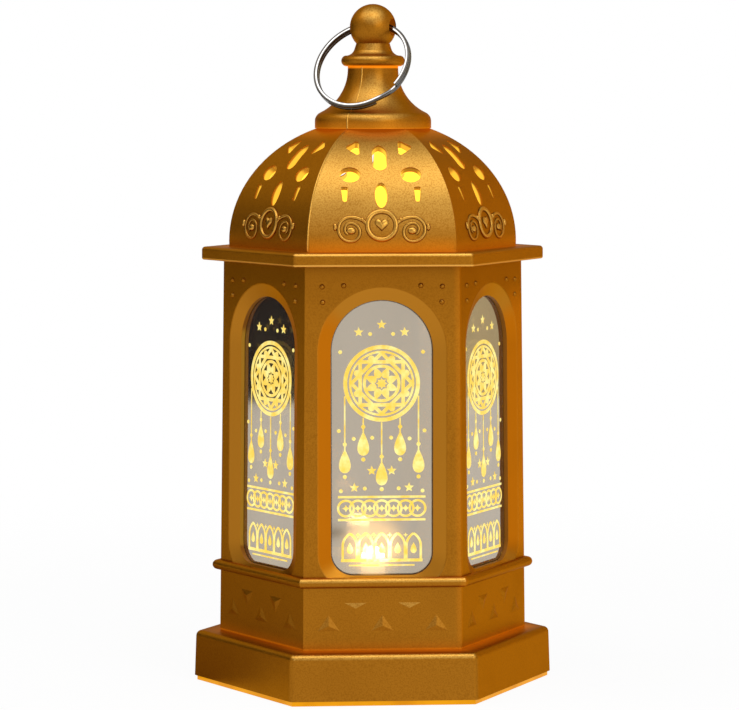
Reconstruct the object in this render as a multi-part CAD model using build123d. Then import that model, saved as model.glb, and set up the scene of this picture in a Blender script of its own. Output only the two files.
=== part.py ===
from build123d import *
import math
import os

# Six-sided fanous lantern, standing on z = 0, in millimetres.
# Corners lie on +X and -X, and the front facet faces -Y.

# Hexagon
facets = 6
facet_turn = 360 / facets
corner_ratio = 1 / math.cos(math.pi / facets)

# Bottom cover
cover_rim_height = 1.0
cover_rim_inset = 0.6
cover_plug_height = 1.6
cover_plug_clearance = 0.2

# Plinth, which steps out from the cage's foot
plinth_step = 4.45
plinth_taper = 0.3
plinth_height = 9.4
plinth_wall = 2.0
plinth_roof = 2.0
plinth_edge_radius = 1.2

# Window cage with its lower band
cage_foot_apothem = 27.6
cage_taper = 0.9
cage_height = 77.1
cage_wall = 2.4
spigot_wall = 1.2
spigot_depth = 2.2
spigot_clearance = 0.15

# Windows, with heights up the facet from the cage's foot
pier_half_width = 5.685
window_sill = 15.0
sill_corner_radius = 4.5
bevel_width = 2.75
bevel_depth = 1.1
bevel_overcut = 0.3
arch_margin = 4.1
pane_thickness = 1.0
pane_margin = 1.3
pane_pocket = 0.4
pane_clearance = 0.15

# Studs in the upper corners of each window wall: distance in from the corner and down from the head
stud_radius = 0.55
stud_sink = 0.15
stud_places = [(8.235, 3.9), (3.935, 4.1), (4.035, 7.2)]

# Bead between the windows and the band
bead_height = 13.75
bead_radius = 1.05
bead_reach = 1.5

# Frieze of low three-sided pyramids on the band
frieze_count = 5
frieze_end_margin = 1.065
frieze_base = 8.1
frieze_height = 5.8
frieze_foot = 3.1
frieze_stagger = 1.6
frieze_relief = 0.25
frieze_sink = 0.2

# Eave and the skirt that locates the roof in the cage
eave_overhang = 4.0
eave_thickness = 2.7
eave_edge_radius = 0.7
eave_foot_radius = 0.4
skirt_wall = 1.4
skirt_depth = 2.6
skirt_clearance = 0.15

# Dome: each facet is part of a cylinder that stands in from the eave's edge and ends at a flat crown
dome_radius = 25.0
dome_ledge = 4.974
dome_crown_apothem = 10.07
dome_axis_rise = 1.1
dome_wall = 1.8
dome_arc_middle = 45.0

# Pierced holes of one dome facet: place across the facet, share of the way up its curve, width and length
crown_drop_rise = 0.672
crown_drop_width = 2.9
crown_drop_length = 6.9
crown_drop_head = 2.3
petal_across = 3.9
petal_rise = 0.760
petal_width = 2.95
petal_length = 5.3
petal_corner_radius = 0.5
oval_across = 6.1
oval_rise = 0.526
oval_width = 4.1
oval_length = 3.6
lower_oval_rise = 0.377
lower_oval_width = 2.5
lower_oval_length = 5.4
side_slot_across = 7.3
side_slot_rise = 0.383
side_slot_width = 1.45
side_slot_foot_width = 0.8
side_slot_length = 3.2
side_slot_corner_radius = 0.35

# Spire: flange, flared stem, collar, neck and ball
flange_radius = 12.0
flange_side_height = 1.45
flange_shoulder_radius = 2.0
flange_height = 3.25
flare_foot_radius = 10.85
flare_height = 9.45
flare_curve_radius = 9.9
stem_radius = 5.2
collar_radius = 6.55
collar_foot_radius = 5.45
collar_head_radius = 5.75
collar_height = 2.2
neck_foot_radius = 3.9
neck_sweep_height = 1.1
neck_sweep_radius = 1.9
neck_radius = 3.45
neck_height = 2.5
ball_radius = 4.78
spire_bore_foot_radius = 7.4
spire_bore_head_radius = 3.4

# Split ring of two turns, through a hole across the ball
ring_outer_radius = 10.5
ring_wire_width = 0.95
ring_wire_thickness = 0.7
ring_wire_corner_radius = 0.2
ring_turn_gap = 0.05
ring_step_angle = 30.0
ring_split_angle = -29.0
ring_hole_radius = 1.75
ring_hole_drop = 0.0
ring_hole_heading = -29.0
ring_rest_gap = 0.2
ring_lean_steps = 100

# Screw bosses of the cage, on every second corner
boss_radius = 2.8
boss_bite = 0.4
screw_tip_room = 1.9
stake_radius = 1.2
stake_head = 0.5

# Lamp deck
deck_gap = 2.1
deck_thickness = 1.4
deck_clearance = 0.3
stake_clearance = 0.1
deck_lamp_hole_radius = 3.3
deck_post_radius = 2.0
deck_post_height = 1.6

# Lamp board and what it carries
board_length = 15.0
board_width = 15.0
board_thickness = 1.2
board_screw_spacing = 11.2
led_radius = 2.5
led_flange_radius = 2.9
led_flange_height = 1.0
led_height = 8.6
led_leg_width = 0.5
led_leg_spacing = 2.54
led_leg_length = 2.2
resistor_radius = 0.9
resistor_length = 4.0
resistor_lead_radius = 0.25
resistor_lead_spacing = 7.2
resistor_across = 4.6
resistor_gap = 0.2
lead_hole_clearance = 0.15

# Screws: head radius, head height and shank radius
base_screw_head_radius = 2.2
base_screw_head_height = 1.3
base_screw_radius = 1.0
base_screw_length = 10.0
base_screw_recess = 1.7
small_screw_head_radius = 1.5
small_screw_head_height = 0.9
small_screw_radius = 0.8
screw_clearance = 0.25
thread_clearance = 0.05
screw_slot_width = 0.6
screw_slot_depth = 0.5

# Battery well, with three button cells in a row along X
cell_count = 3
cell_radius = 5.8
cell_height = 5.4
cell_lip_radius = 5.0
cell_lip_height = 0.3
cell_clearance = 0.3
well_across = -7.0
well_wall = 1.2
contact_thickness = 0.4
contact_width = 9.0
contact_spring_rise = 2.6
contact_spring_width = 5.0
contact_spring_height = 7.0
contact_tail_width = 2.0
contact_tail_length = 1.2
contact_clearance = 0.1

# Battery door, which slides along X out of its catches
door_overlap = 2.0
door_gap = 0.4
door_thickness = 1.2
door_clearance = 0.2
door_headroom = 0.1
door_travel = 4.0
tab_length = 5.0
tab_reach = 0.9
tab_thickness = 0.65
tab_inset = 2.0
thumb_radius = 4.5
thumb_depth = 0.4

# Slide switch
switch_across = 13.0
switch_length = 8.6
switch_width = 4.4
switch_height = 3.6
switch_ear_length = 15.0
switch_ear_thickness = 0.6
switch_screw_spacing = 11.8
switch_screw_length = 1.9
switch_hollow_length = 6.6
switch_hollow_width = 3.4
switch_hollow_height = 1.1
switch_travel = 2.0
slider_plate_length = 3.8
slider_plate_width = 3.0
slider_plate_thickness = 0.7
slider_knob_length = 1.8
slider_knob_width = 2.0
slider_gap = 0.4
slider_clearance = 0.15
switch_recess_length = 10.0
switch_recess_width = 6.6
switch_recess_depth = 1.4
switch_recess_corner_radius = 1.5
terminal_count = 3
terminal_pitch = 2.5
terminal_width = 0.8
terminal_thickness = 0.4
terminal_length = 2.0

# Wires
wire_radius = 0.5
wire_solder_gap = 0.02
wire_bend_radius = 2.4
wire_tail_run = 6.0
wire_tail_short_run = 4.0
wire_bow = 4.0
wire_bow_drop = 2.0
wire_bow_back = 8.0
wire_terminal_rise = 5.0
wire_pad_inset = 2.0
wire_pad_across = 4.0

# Plan sizes that follow from the cage's foot
facet_half_width = cage_foot_apothem * math.tan(math.pi / facets)
window_half_width = facet_half_width - pier_half_width
frieze_pitch = (2 * facet_half_width - frieze_base - 2 * frieze_end_margin) / (frieze_count - 1)
plinth_head_apothem = cage_foot_apothem + plinth_step
plinth_foot_apothem = plinth_head_apothem + plinth_taper
cage_head_apothem = cage_foot_apothem - cage_taper
eave_apothem = cage_head_apothem + eave_overhang
dome_foot_apothem = eave_apothem - dome_ledge
dome_axis_out = dome_foot_apothem - math.sqrt(dome_radius ** 2 - dome_axis_rise ** 2)
dome_foot_angle = -math.asin(dome_axis_rise / dome_radius)
dome_crown_angle = math.acos((dome_crown_apothem - dome_axis_out) / dome_radius)
dome_height = dome_axis_rise + dome_radius * math.sin(dome_crown_angle)

# Levels that follow from the sizes above
cover_top = cover_rim_height + cover_plug_height
plinth_top = cover_rim_height + plinth_height
cage_top = plinth_top + cage_height
eave_top = cage_top + eave_thickness
dome_axis_level = eave_top + dome_axis_rise
dome_top = eave_top + dome_height
flange_top = dome_top + flange_height
flare_top = flange_top + flare_height
collar_top = flare_top + collar_height
neck_top = collar_top + neck_height
ball_level = neck_top + math.sqrt(ball_radius ** 2 - neck_radius ** 2)
ring_hole_level = ball_level - ring_hole_drop

cage_draft = math.atan((cage_foot_apothem - cage_head_apothem) / cage_height)
arch_height = cage_height - arch_margin - bevel_width - window_half_width
pane_foot = window_sill - pane_margin
deck_top = plinth_top + pane_foot - deck_gap
deck_foot = deck_top - deck_thickness
board_top = deck_foot - deck_post_height
board_foot = board_top - board_thickness
plinth_hollow_apothem = plinth_head_apothem - plinth_wall
cover_rim_apothem = plinth_foot_apothem - cover_rim_inset


def cage_apothem(level):
    """Outer apothem of the cage's wall at a level."""
    return cage_foot_apothem - (level - plinth_top) * math.tan(cage_draft)


def cage_inner_apothem(level):
    """Apothem of the space inside the cage's wall at a level."""
    return cage_apothem(level) - cage_wall


boss_distance = (cage_inner_apothem(deck_foot) - boss_radius + boss_bite) * corner_ratio
boss_angles = [0, 120, 240]
boss_places = [Rot(0, 0, angle) * Pos(boss_distance, 0, 0) for angle in boss_angles]


def hexagon(apothem, level):
    """Hexagonal face at a level."""
    return Pos(0, 0, level) * RegularPolygon(apothem, facets, major_radius=False)


def hex_prism(apothem, low, high):
    """Upright hexagonal prism between two levels."""
    return extrude(hexagon(apothem, low), high - low)


def hex_taper(low_apothem, low, high_apothem, high):
    """Hexagonal block that tapers evenly between two levels."""
    return loft([hexagon(low_apothem, low), hexagon(high_apothem, high)], ruled=True)


def around(shape):
    """One copy of a front-facet shape for each facet."""
    return [Rot(0, 0, facet_turn * index) * shape for index in range(facets)]


def rod(radius, low, high):
    """Upright cylinder on the axis between two levels."""
    return Pos(0, 0, low) * Cylinder(radius, high - low, align=(Align.CENTER, Align.CENTER, Align.MIN))


def block(length, width, low, high):
    """Upright box centred on the axis between two levels."""
    return Pos(0, 0, low) * Box(length, width, high - low, align=(Align.CENTER, Align.CENTER, Align.MIN))


def tube_along(points, radius, bend_radius):
    """Round wire along straight runs joined by tangent arcs."""
    path = FilletPolyline(*points, radius=bend_radius)
    start = Plane(origin=path @ 0, z_dir=path % 0)
    return sweep(start * Circle(radius), path=path)


def front_facet():
    """Plane of the cage's front facet: x across, y up the facet from its foot, z outwards."""
    origin = (0, -cage_foot_apothem, plinth_top)
    return Plane(origin=origin, x_dir=(1, 0, 0), z_dir=(0, -math.cos(cage_draft), math.sin(cage_draft)))


def window_outline(spread, corner_radius):
    """Round-headed window outline, spread outwards from the opening by the same amount all round."""
    half = window_half_width + spread
    foot = window_sill - spread
    spring = foot + corner_radius
    bend = corner_radius * (1 - math.sqrt(0.5))
    crown = ThreePointArc((half, arch_height), (0, arch_height + half), (-half, arch_height))
    left = Line((-half, arch_height), (-half, spring))
    left_corner = ThreePointArc((-half, spring), (-half + bend, foot + bend), (-half + corner_radius, foot))
    sill = Line((-half + corner_radius, foot), (half - corner_radius, foot))
    right_corner = ThreePointArc((half - corner_radius, foot), (half - bend, foot + bend), (half, spring))
    right = Line((half, spring), (half, arch_height))
    return make_face([crown, left, left_corner, sill, right_corner, right])


def bevel_cutter():
    """Cutter for the bevelled surround of the front window, above the bead."""
    slope = bevel_width / bevel_depth
    outer_spread = bevel_width + bevel_overcut * slope
    outer = Pos(0, 0, bevel_overcut) * window_outline(outer_spread, sill_corner_radius + outer_spread)
    inner = Pos(0, 0, -bevel_depth) * window_outline(0, sill_corner_radius)
    bevel = loft([outer, inner], ruled=True)
    band = Box(4 * window_half_width, cage_height, 4 * cage_wall)
    return front_facet() * (bevel - Pos(0, bead_height - cage_height / 2, 0) * band)


def opening_cutter():
    """Cutter for the opening of the front window."""
    return front_facet() * extrude(window_outline(0, sill_corner_radius), cage_wall, both=True)


def pocket_cutter():
    """Cutter for the pane's pocket on the inner side of the front wall."""
    spread = pane_margin + pane_clearance
    pocket = extrude(window_outline(spread, sill_corner_radius + spread), -cage_wall)
    return front_facet() * Pos(0, 0, pane_pocket - cage_wall) * pocket


def studs():
    """Round studs in both upper corners of the front wall."""
    stud = Pos(0, 0, -stud_sink) * Sphere(stud_radius)
    shapes = []
    for inset, drop in stud_places:
        for side in (-1, 1):
            place = Pos(side * (facet_half_width - inset), cage_height - drop, 0)
            shapes.append(front_facet() * place * stud)
    return shapes


def frieze():
    """Upright and inverted pyramids in turn across the front facet's band."""
    pyramids = []
    for index in range(frieze_count):
        middle = (index - (frieze_count - 1) / 2) * frieze_pitch
        flat_level, point_level = frieze_foot, frieze_foot + frieze_height
        if index % 2:
            point_level = frieze_foot + frieze_stagger
            flat_level = point_level + frieze_height
        left = (middle - frieze_base / 2, flat_level)
        right = (middle + frieze_base / 2, flat_level)
        base = make_face(Polyline(left, right, (middle, point_level), close=True))
        apex = Vertex(middle, (2 * flat_level + point_level) / 3, frieze_relief)
        pyramids.append(front_facet() * loft([Pos(0, 0, -frieze_sink) * base, apex]))
    return pyramids


def bead():
    """Half-round bead along the front facet, mitred at both corners."""
    level = plinth_top + bead_height
    out = cage_apothem(level) + bead_reach - bead_radius
    reach = 2 * cage_foot_apothem
    round_bar = Pos(0, -out, level) * Rot(0, 90, 0) * Cylinder(bead_radius, reach)
    half_side = reach * math.tan(math.pi / facets)
    sector = make_face(Polyline((0, 0), (-half_side, -reach), (half_side, -reach), close=True))
    return round_bar & extrude(Pos(0, 0, level) * sector, 2 * bead_radius, both=True)


def window_cage():
    """Six window walls over the lower band, with spigot, bead, frieze and screw bosses."""
    spigot_foot = plinth_top - spigot_depth
    foot_hollow = cage_foot_apothem - cage_wall
    outer = hex_taper(cage_foot_apothem, plinth_top, cage_head_apothem, cage_top)
    outer += hex_prism(foot_hollow + spigot_wall, spigot_foot, plinth_top)
    outer -= around(bevel_cutter())
    outer += around(bead())
    outer += [copy for shape in frieze() + studs() for copy in around(shape)]
    hollow = hex_taper(foot_hollow, plinth_top, cage_head_apothem - cage_wall, cage_top)
    hollow += hex_prism(foot_hollow, spigot_foot, plinth_top)
    cage = outer - hollow
    cage -= around(opening_cutter())
    cage -= around(pocket_cutter())
    boss = rod(boss_radius, cover_top, deck_foot) + rod(stake_radius, deck_foot, deck_top + stake_head)
    pilot_top = base_screw_recess + base_screw_length + screw_tip_room
    boss -= rod(base_screw_radius + thread_clearance, cover_top, pilot_top)
    return cage + [place * boss for place in boss_places]


def window_pane():
    """Pane of the front window, in its pocket on the inner side of the wall."""
    outline = window_outline(pane_margin, sill_corner_radius + pane_margin)
    return front_facet() * Pos(0, 0, pane_pocket - cage_wall) * extrude(outline, -pane_thickness)


def plinth():
    """Hollow stepped foot, open below, with a six-sided seat for the cage's spigot."""
    body = hex_taper(plinth_foot_apothem, cover_rim_height, plinth_head_apothem, plinth_top)
    rim = body.edges().group_by(Axis.Z)[-1]
    corners = body.edges().filter_by(lambda edge: abs(edge.tangent_at(0.5).Z) > 0.5)
    body = fillet(rim + corners, plinth_edge_radius)
    body -= hex_prism(plinth_hollow_apothem, cover_rim_height, plinth_top - plinth_roof)
    seat = cage_foot_apothem - cage_wall + spigot_wall + spigot_clearance
    return body - hex_prism(seat, cover_rim_height, plinth_top)


def dome_block(radius, low, high):
    """Six-sided dome: three crossing round-topped blocks share what they have in common."""
    low_out = dome_axis_out + math.sqrt(radius ** 2 - (low - dome_axis_level) ** 2)
    high_out = dome_axis_out + math.sqrt(radius ** 2 - (high - dome_axis_level) ** 2)
    middle = math.radians(dome_arc_middle)
    middle_out = dome_axis_out + radius * math.cos(middle)
    middle_level = dome_axis_level + radius * math.sin(middle)
    foot = Line((-low_out, low), (low_out, low))
    right = ThreePointArc((low_out, low), (middle_out, middle_level), (high_out, high))
    crown = Line((high_out, high), (-high_out, high))
    left = ThreePointArc((-high_out, high), (-middle_out, middle_level), (-low_out, low))
    profile = Plane.YZ * make_face([foot, right, crown, left])
    slab = extrude(profile, 2 * radius, both=True)
    return slab & Rot(0, 0, facet_turn) * slab & Rot(0, 0, 2 * facet_turn) * slab


def dome_place(across, rise):
    """Plane on the front dome facet at a share of its rise: x across, y up the curve, z outwards."""
    angle = dome_foot_angle + rise * (dome_crown_angle - dome_foot_angle)
    out = dome_axis_out + dome_radius * math.cos(angle)
    level = dome_axis_level + dome_radius * math.sin(angle)
    return Plane(origin=(across, -out, level), x_dir=(1, 0, 0), z_dir=(0, -math.cos(angle), math.sin(angle)))


def drop_outline():
    """Crown hole with a round foot, straight sides and a pointed head, centred on its length."""
    half = crown_drop_width / 2
    foot = half - crown_drop_length / 2
    spring = crown_drop_length / 2 - crown_drop_head
    tip = (0, crown_drop_length / 2)
    head_radius = (half ** 2 + crown_drop_head ** 2) / crown_drop_width
    bend = math.asin(crown_drop_head / head_radius) / 2
    bend_out = half - head_radius * (1 - math.cos(bend))
    bend_up = spring + head_radius * math.sin(bend)
    return make_face([
        ThreePointArc((-half, foot), (0, -crown_drop_length / 2), (half, foot)),
        Line((half, foot), (half, spring)),
        ThreePointArc((half, spring), (bend_out, bend_up), tip),
        ThreePointArc(tip, (-bend_out, bend_up), (-half, spring)),
        Line((-half, spring), (-half, foot)),
    ])


def slot_outline():
    """Side slot that narrows towards its foot, with rounded corners."""
    top, foot = side_slot_length / 2, -side_slot_length / 2
    half, foot_half = side_slot_width / 2, side_slot_foot_width / 2
    corners = [(-half, top), (-foot_half, foot), (foot_half, foot), (half, top)]
    outline = make_face(Polyline(*corners, close=True))
    return fillet(outline.vertices(), side_slot_corner_radius)


def petal_outline(side):
    """Three-cornered petal with an upright inner edge and its point towards a side."""
    inner_top = (0, petal_length / 2)
    inner_foot = (0, -petal_length / 2)
    outline = make_face(Polyline(inner_top, inner_foot, (side * petal_width, 0), close=True))
    return fillet(outline.vertices(), petal_corner_radius)


def dome_holes():
    """Cutters for the pierced holes of the front dome facet."""
    outlines = [
        dome_place(0, crown_drop_rise) * drop_outline(),
        dome_place(0, lower_oval_rise) * Ellipse(lower_oval_width / 2, lower_oval_length / 2),
    ]
    for side in (-1, 1):
        oval = Ellipse(oval_width / 2, oval_length / 2)
        outlines.append(dome_place(side * petal_across, petal_rise) * petal_outline(side))
        outlines.append(dome_place(side * oval_across, oval_rise) * oval)
        outlines.append(dome_place(side * side_slot_across, side_slot_rise) * slot_outline())
    return [extrude(outline, 2 * dome_wall, both=True) for outline in outlines]


def flare_arc():
    """Hollow curve of the stem, from the flange up to the collar."""
    return RadiusArc((flare_foot_radius, flange_top), (stem_radius, flare_top), flare_curve_radius)


def spire():
    """Flange, flared stem, collar, neck and ball, turned about the axis."""
    collar_middle = (collar_radius, flare_top + collar_height / 2)
    foot_edge = (flange_radius, dome_top)
    side_edge = (flange_radius, dome_top + flange_side_height)
    collar_edge = (collar_head_radius, collar_top)
    neck_foot = (neck_foot_radius, collar_top + neck_sweep_height)
    neck_edge = (neck_radius, neck_top)
    ball_top = (0, ball_level + ball_radius)
    ball_side = (ball_radius, ball_level)
    sides = [
        Line((0, dome_top), foot_edge),
        Line(foot_edge, side_edge),
        RadiusArc(side_edge, (flare_foot_radius, flange_top), -flange_shoulder_radius),
        flare_arc(),
        Line((stem_radius, flare_top), (collar_foot_radius, flare_top)),
        ThreePointArc((collar_foot_radius, flare_top), collar_middle, collar_edge),
        RadiusArc(collar_edge, neck_foot, neck_sweep_radius),
        Line(neck_foot, neck_edge),
        ThreePointArc(neck_edge, ball_side, ball_top),
        Line(ball_top, (0, dome_top)),
    ]
    return revolve(Plane.XZ * make_face(sides), Axis.Z)


def roof_shell():
    """Eave, pierced dome and spire in one hollow moulding, with a skirt down into the cage."""
    eave = hex_prism(eave_apothem, cage_top, eave_top)
    eave = fillet(eave.edges().group_by(Axis.Z)[-1] + eave.edges().filter_by(Axis.Z), eave_edge_radius)
    eave = fillet(eave.edges().group_by(Axis.Z)[0], eave_foot_radius)
    skirt_apothem = cage_head_apothem - cage_wall - skirt_clearance
    skirt_foot = cage_top - skirt_depth
    roof = eave + hex_prism(skirt_apothem, skirt_foot, cage_top)
    roof += dome_block(dome_radius, eave_top, dome_top)
    roof += spire()
    roof -= hex_prism(skirt_apothem - skirt_wall, skirt_foot, eave_top)
    roof -= dome_block(dome_radius - dome_wall, eave_top, dome_top - dome_wall)
    bore = make_face(Polyline(
        (0, dome_top - dome_wall),
        (spire_bore_foot_radius, dome_top - dome_wall),
        (spire_bore_head_radius, flare_top),
        (0, flare_top),
        close=True,
    ))
    roof -= revolve(Plane.XZ * bore, Axis.Z)
    roof -= [hole for cutter in dome_holes() for hole in around(cutter)]
    across_ball = Rot(0, 0, ring_hole_heading) * Rot(0, 90, 0) * Cylinder(ring_hole_radius, 3 * ball_radius)
    return roof - Pos(0, 0, ring_hole_level) * across_ball


ring_mean_radius = ring_outer_radius - ring_wire_width / 2
hole_half_length = math.sqrt(ball_radius ** 2 - ring_hole_drop ** 2)
ring_sag = ring_mean_radius - math.sqrt(ring_mean_radius ** 2 - hole_half_length ** 2)
ring_centre_distance = ring_mean_radius - ring_sag / 2
ring_half_thickness = ring_wire_thickness + ring_turn_gap / 2


def ring_lean():
    """Angle from upright at which the hanging ring comes to lie on the flared stem."""
    outer_reach = ring_centre_distance + ring_outer_radius
    inner_reach = outer_reach - ring_wire_width
    lean = 0
    for step in range(ring_lean_steps + 1):
        point = flare_arc() @ (step / ring_lean_steps)
        drop = ring_hole_level - point.Y
        distance = math.hypot(drop, point.X)
        angle = math.atan2(point.X, drop) + math.asin((ring_half_thickness + ring_rest_gap) / distance)
        along = point.X * math.sin(angle) + drop * math.cos(angle)
        if inner_reach < along < outer_reach:
            lean = max(lean, angle)
    return lean


def ring_plane():
    """Plane of the ring at rest: x along its hole, y from the ring's centre up to the hole."""
    heading = math.radians(ring_hole_heading)
    along = Vector(math.cos(heading), math.sin(heading), 0)
    forward = Vector(math.sin(heading), -math.cos(heading), 0)
    down = forward * math.sin(ring_lean()) - Vector(0, 0, math.cos(ring_lean()))
    centre = Vector(0, 0, ring_hole_level) + down * ring_centre_distance
    return Plane(origin=centre, x_dir=along, z_dir=along.cross(down * -1))


def ring_section(angle, shift):
    """Section of the flat wire at an angle round the ring, shifted along the ring's axis."""
    section = RectangleRounded(ring_wire_width, ring_wire_thickness, ring_wire_corner_radius)
    upright = Plane.XZ * Pos(ring_mean_radius, shift) * section
    return Rot(0, 0, angle) * upright


def hanging_ring():
    """Split ring: one wire that goes round twice and steps over between its two turns."""
    shift = (ring_wire_thickness + ring_turn_gap) / 2
    turn_angle = 360 - ring_step_angle
    front_turn = revolve(ring_section(0, shift), Axis.Z, turn_angle)
    rear_turn = revolve(ring_section(0, -shift), Axis.Z, turn_angle)
    sections = []
    for part in (0, 0.25, 0.5, 0.75, 1):
        ease = part * part * (3 - 2 * part)
        sections.append(ring_section(turn_angle + part * ring_step_angle, shift * (1 - 2 * ease)))
    ring = front_turn + loft(sections) + rear_turn
    return ring_plane() * Rot(0, 0, ring_split_angle) * ring


def screw(head_radius, head_height, radius, length):
    """Slotted screw with its head below z = 0 and its shank above."""
    body = rod(head_radius, -head_height, 0) + rod(radius, 0, length)
    return body - block(2 * head_radius, screw_slot_width, -head_height, screw_slot_depth - head_height)


well_foot = door_gap + door_thickness + door_headroom
cell_level = well_foot + cell_clearance + cell_radius
well_ceiling = cell_level + cell_radius + cell_clearance
stack_length = cell_count * cell_height
well_length = stack_length + 2 * contact_thickness + contact_spring_rise + contact_clearance
well_width = 2 * (cell_radius + cell_clearance)
well_top = well_ceiling + well_wall
well_place = Pos(0, well_across, 0)
tail_top = well_top + contact_tail_length
tail_slot_width = contact_tail_width + 2 * contact_clearance
door_length = well_length + 2 * door_overlap
door_width = well_width + 2 * door_overlap
tab_middles = [-door_length / 2 + tab_inset + tab_length / 2, door_length / 2 - tab_inset - tab_length / 2]
tab_foot = door_gap + door_thickness - tab_thickness
switch_place = Pos(0, switch_across, 0)


def door_cutters():
    """Cutters for the door's recess, its two grooves and the notches that let its tabs in."""
    recess_length = door_length + door_travel + 2 * door_clearance
    recess_width = door_width + 2 * door_clearance
    tab_width = door_width + 2 * tab_reach + 2 * door_clearance
    shifted = Pos(door_travel / 2, 0, 0)
    cutters = [
        shifted * block(recess_length, recess_width, 0, well_foot),
        shifted * block(recess_length, tab_width, tab_foot - door_headroom, well_foot),
    ]
    for middle in tab_middles:
        notch = block(tab_length + 2 * door_clearance, tab_width, 0, well_foot)
        cutters.append(Pos(middle + door_travel, 0, 0) * notch)
    return [well_place * cutter for cutter in cutters]


def switch_cutters():
    """Cutters for the switch's recess below, its knob's slot and its screws."""
    recess = RectangleRounded(switch_recess_length, switch_recess_width, switch_recess_corner_radius)
    slot_length = slider_knob_length + switch_travel + 4 * slider_clearance
    slot_width = slider_knob_width + 4 * slider_clearance
    pilot = rod(small_screw_radius + thread_clearance, cover_top - switch_screw_length, cover_top)
    cutters = [extrude(recess, switch_recess_depth), block(slot_length, slot_width, 0, cover_top)]
    for side in (-1, 1):
        cutters.append(Pos(side * switch_screw_spacing / 2, 0, 0) * pilot)
    return [switch_place * cutter for cutter in cutters]


def bottom_cover():
    """Cover plate that plugs the plinth, with the battery well, door recess and switch recess."""
    cover = hex_prism(cover_rim_apothem, 0, cover_rim_height)
    cover += hex_prism(plinth_hollow_apothem - cover_plug_clearance, cover_rim_height, cover_top)
    well_outer_length = well_length + 2 * well_wall
    well_outer_width = well_width + 2 * well_wall
    cover += well_place * block(well_outer_length, well_outer_width, cover_rim_height, well_top)
    cover -= well_place * block(well_length, well_width, 0, well_ceiling)
    for side in (-1, 1):
        end = side * (well_length - contact_thickness) / 2
        slot = block(contact_thickness + contact_clearance, tail_slot_width, well_ceiling, well_top)
        cover -= Pos(end, well_across, 0) * slot
    cover -= door_cutters()
    cover -= switch_cutters()
    screw_hole = rod(base_screw_head_radius + screw_clearance, 0, base_screw_recess)
    screw_hole += rod(base_screw_radius + screw_clearance, 0, cover_top)
    return cover - [place * screw_hole for place in boss_places]


def base_screws():
    """Three screws, up through the cover into the cage's bosses."""
    one = screw(base_screw_head_radius, base_screw_head_height, base_screw_radius, base_screw_length)
    return [place * Pos(0, 0, base_screw_recess) * one for place in boss_places]


def battery_door():
    """Sliding door with four tabs in the cover's grooves and a dished thumb grip."""
    door_top = door_gap + door_thickness
    door = block(door_length, door_width, door_gap, door_top)
    for middle in tab_middles:
        door += Pos(middle, 0, 0) * block(tab_length, door_width + 2 * tab_reach, tab_foot, door_top)
    grip = block(thumb_radius * 2, thumb_radius * 2, door_gap, door_gap + thumb_depth)
    grip &= Pos(thumb_radius, 0, 0) * rod(thumb_radius, door_gap, door_gap + thumb_depth)
    return well_place * (door - Pos(door_length / 2 - 2 * thumb_radius, 0, 0) * grip)


def battery_cells():
    """Three button cells side by side, each with its raised smaller face towards -X."""
    cell = rod(cell_radius, cell_lip_height, cell_height) + rod(cell_lip_radius, 0, cell_lip_height)
    lying = Rot(0, 90, 0) * cell
    first = well_length / 2 - contact_thickness - stack_length
    return [Pos(first + index * cell_height, well_across, cell_level) * lying for index in range(cell_count)]


def contact_plate(side):
    """Upright contact plate at one end of the well, with a tail up through the ceiling."""
    foot = cell_level - cell_radius
    plate = block(contact_thickness, contact_width, foot, well_ceiling - contact_clearance)
    plate += block(contact_thickness, contact_tail_width, foot, tail_top)
    return Pos(side * (well_length - contact_thickness) / 2, well_across, 0) * plate


def contact_positive():
    """Flat contact at the +X end of the well."""
    return contact_plate(1)


def bow(half, rise):
    """Upright arc from the sprung contact's plate, by its half height and rise."""
    face = contact_thickness - well_length / 2
    return ThreePointArc((face, cell_level - half), (face + rise, cell_level), (face, cell_level + half))


def contact_negative():
    """Contact at the -X end, with a bowed leaf that presses on the cells."""
    half = contact_spring_height / 2
    outer = bow(half, contact_spring_rise)
    inner = bow(half - contact_thickness, contact_spring_rise - contact_thickness)
    upper = Line(outer @ 1, inner @ 1)
    lower = Line(inner @ 0, outer @ 0)
    leaf = extrude(Plane.XZ * make_face([outer, upper, inner, lower]), contact_spring_width / 2, both=True)
    return contact_plate(-1) + Pos(0, well_across, 0) * leaf


def switch_housing():
    """Slide switch body with two ears, a hollow for its slider and three terminals."""
    top = cover_top + switch_height
    body = block(switch_length, switch_width, cover_top, top)
    body += block(switch_ear_length, switch_width, cover_top, cover_top + switch_ear_thickness)
    body -= block(switch_hollow_length, switch_hollow_width, cover_top, cover_top + switch_hollow_height)
    for index in range(terminal_count):
        place = Pos((index - (terminal_count - 1) / 2) * terminal_pitch, 0, 0)
        body += place * block(terminal_width, terminal_thickness, top, top + terminal_length)
    ear_hole = rod(small_screw_radius + screw_clearance, cover_top, cover_top + switch_ear_thickness)
    for side in (-1, 1):
        body -= Pos(side * switch_screw_spacing / 2, 0, 0) * ear_hole
    return switch_place * body


def switch_slider():
    """Knob on a plate that slides inside the switch, shown switched on."""
    plate_foot = cover_top + slider_clearance
    slider = block(slider_plate_length, slider_plate_width, plate_foot, plate_foot + slider_plate_thickness)
    slider += block(slider_knob_length, slider_knob_width, slider_gap, plate_foot)
    return switch_place * Pos(-switch_travel / 2, 0, 0) * slider


def switch_screws():
    """Two small screws, down through the switch's ears into the cover."""
    one = screw(small_screw_head_radius, small_screw_head_height, small_screw_radius, switch_screw_length)
    turned = Pos(0, 0, cover_top + switch_ear_thickness) * Rot(180, 0, 0) * one
    return [switch_place * Pos(side * switch_screw_spacing / 2, 0, 0) * turned for side in (-1, 1)]


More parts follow.
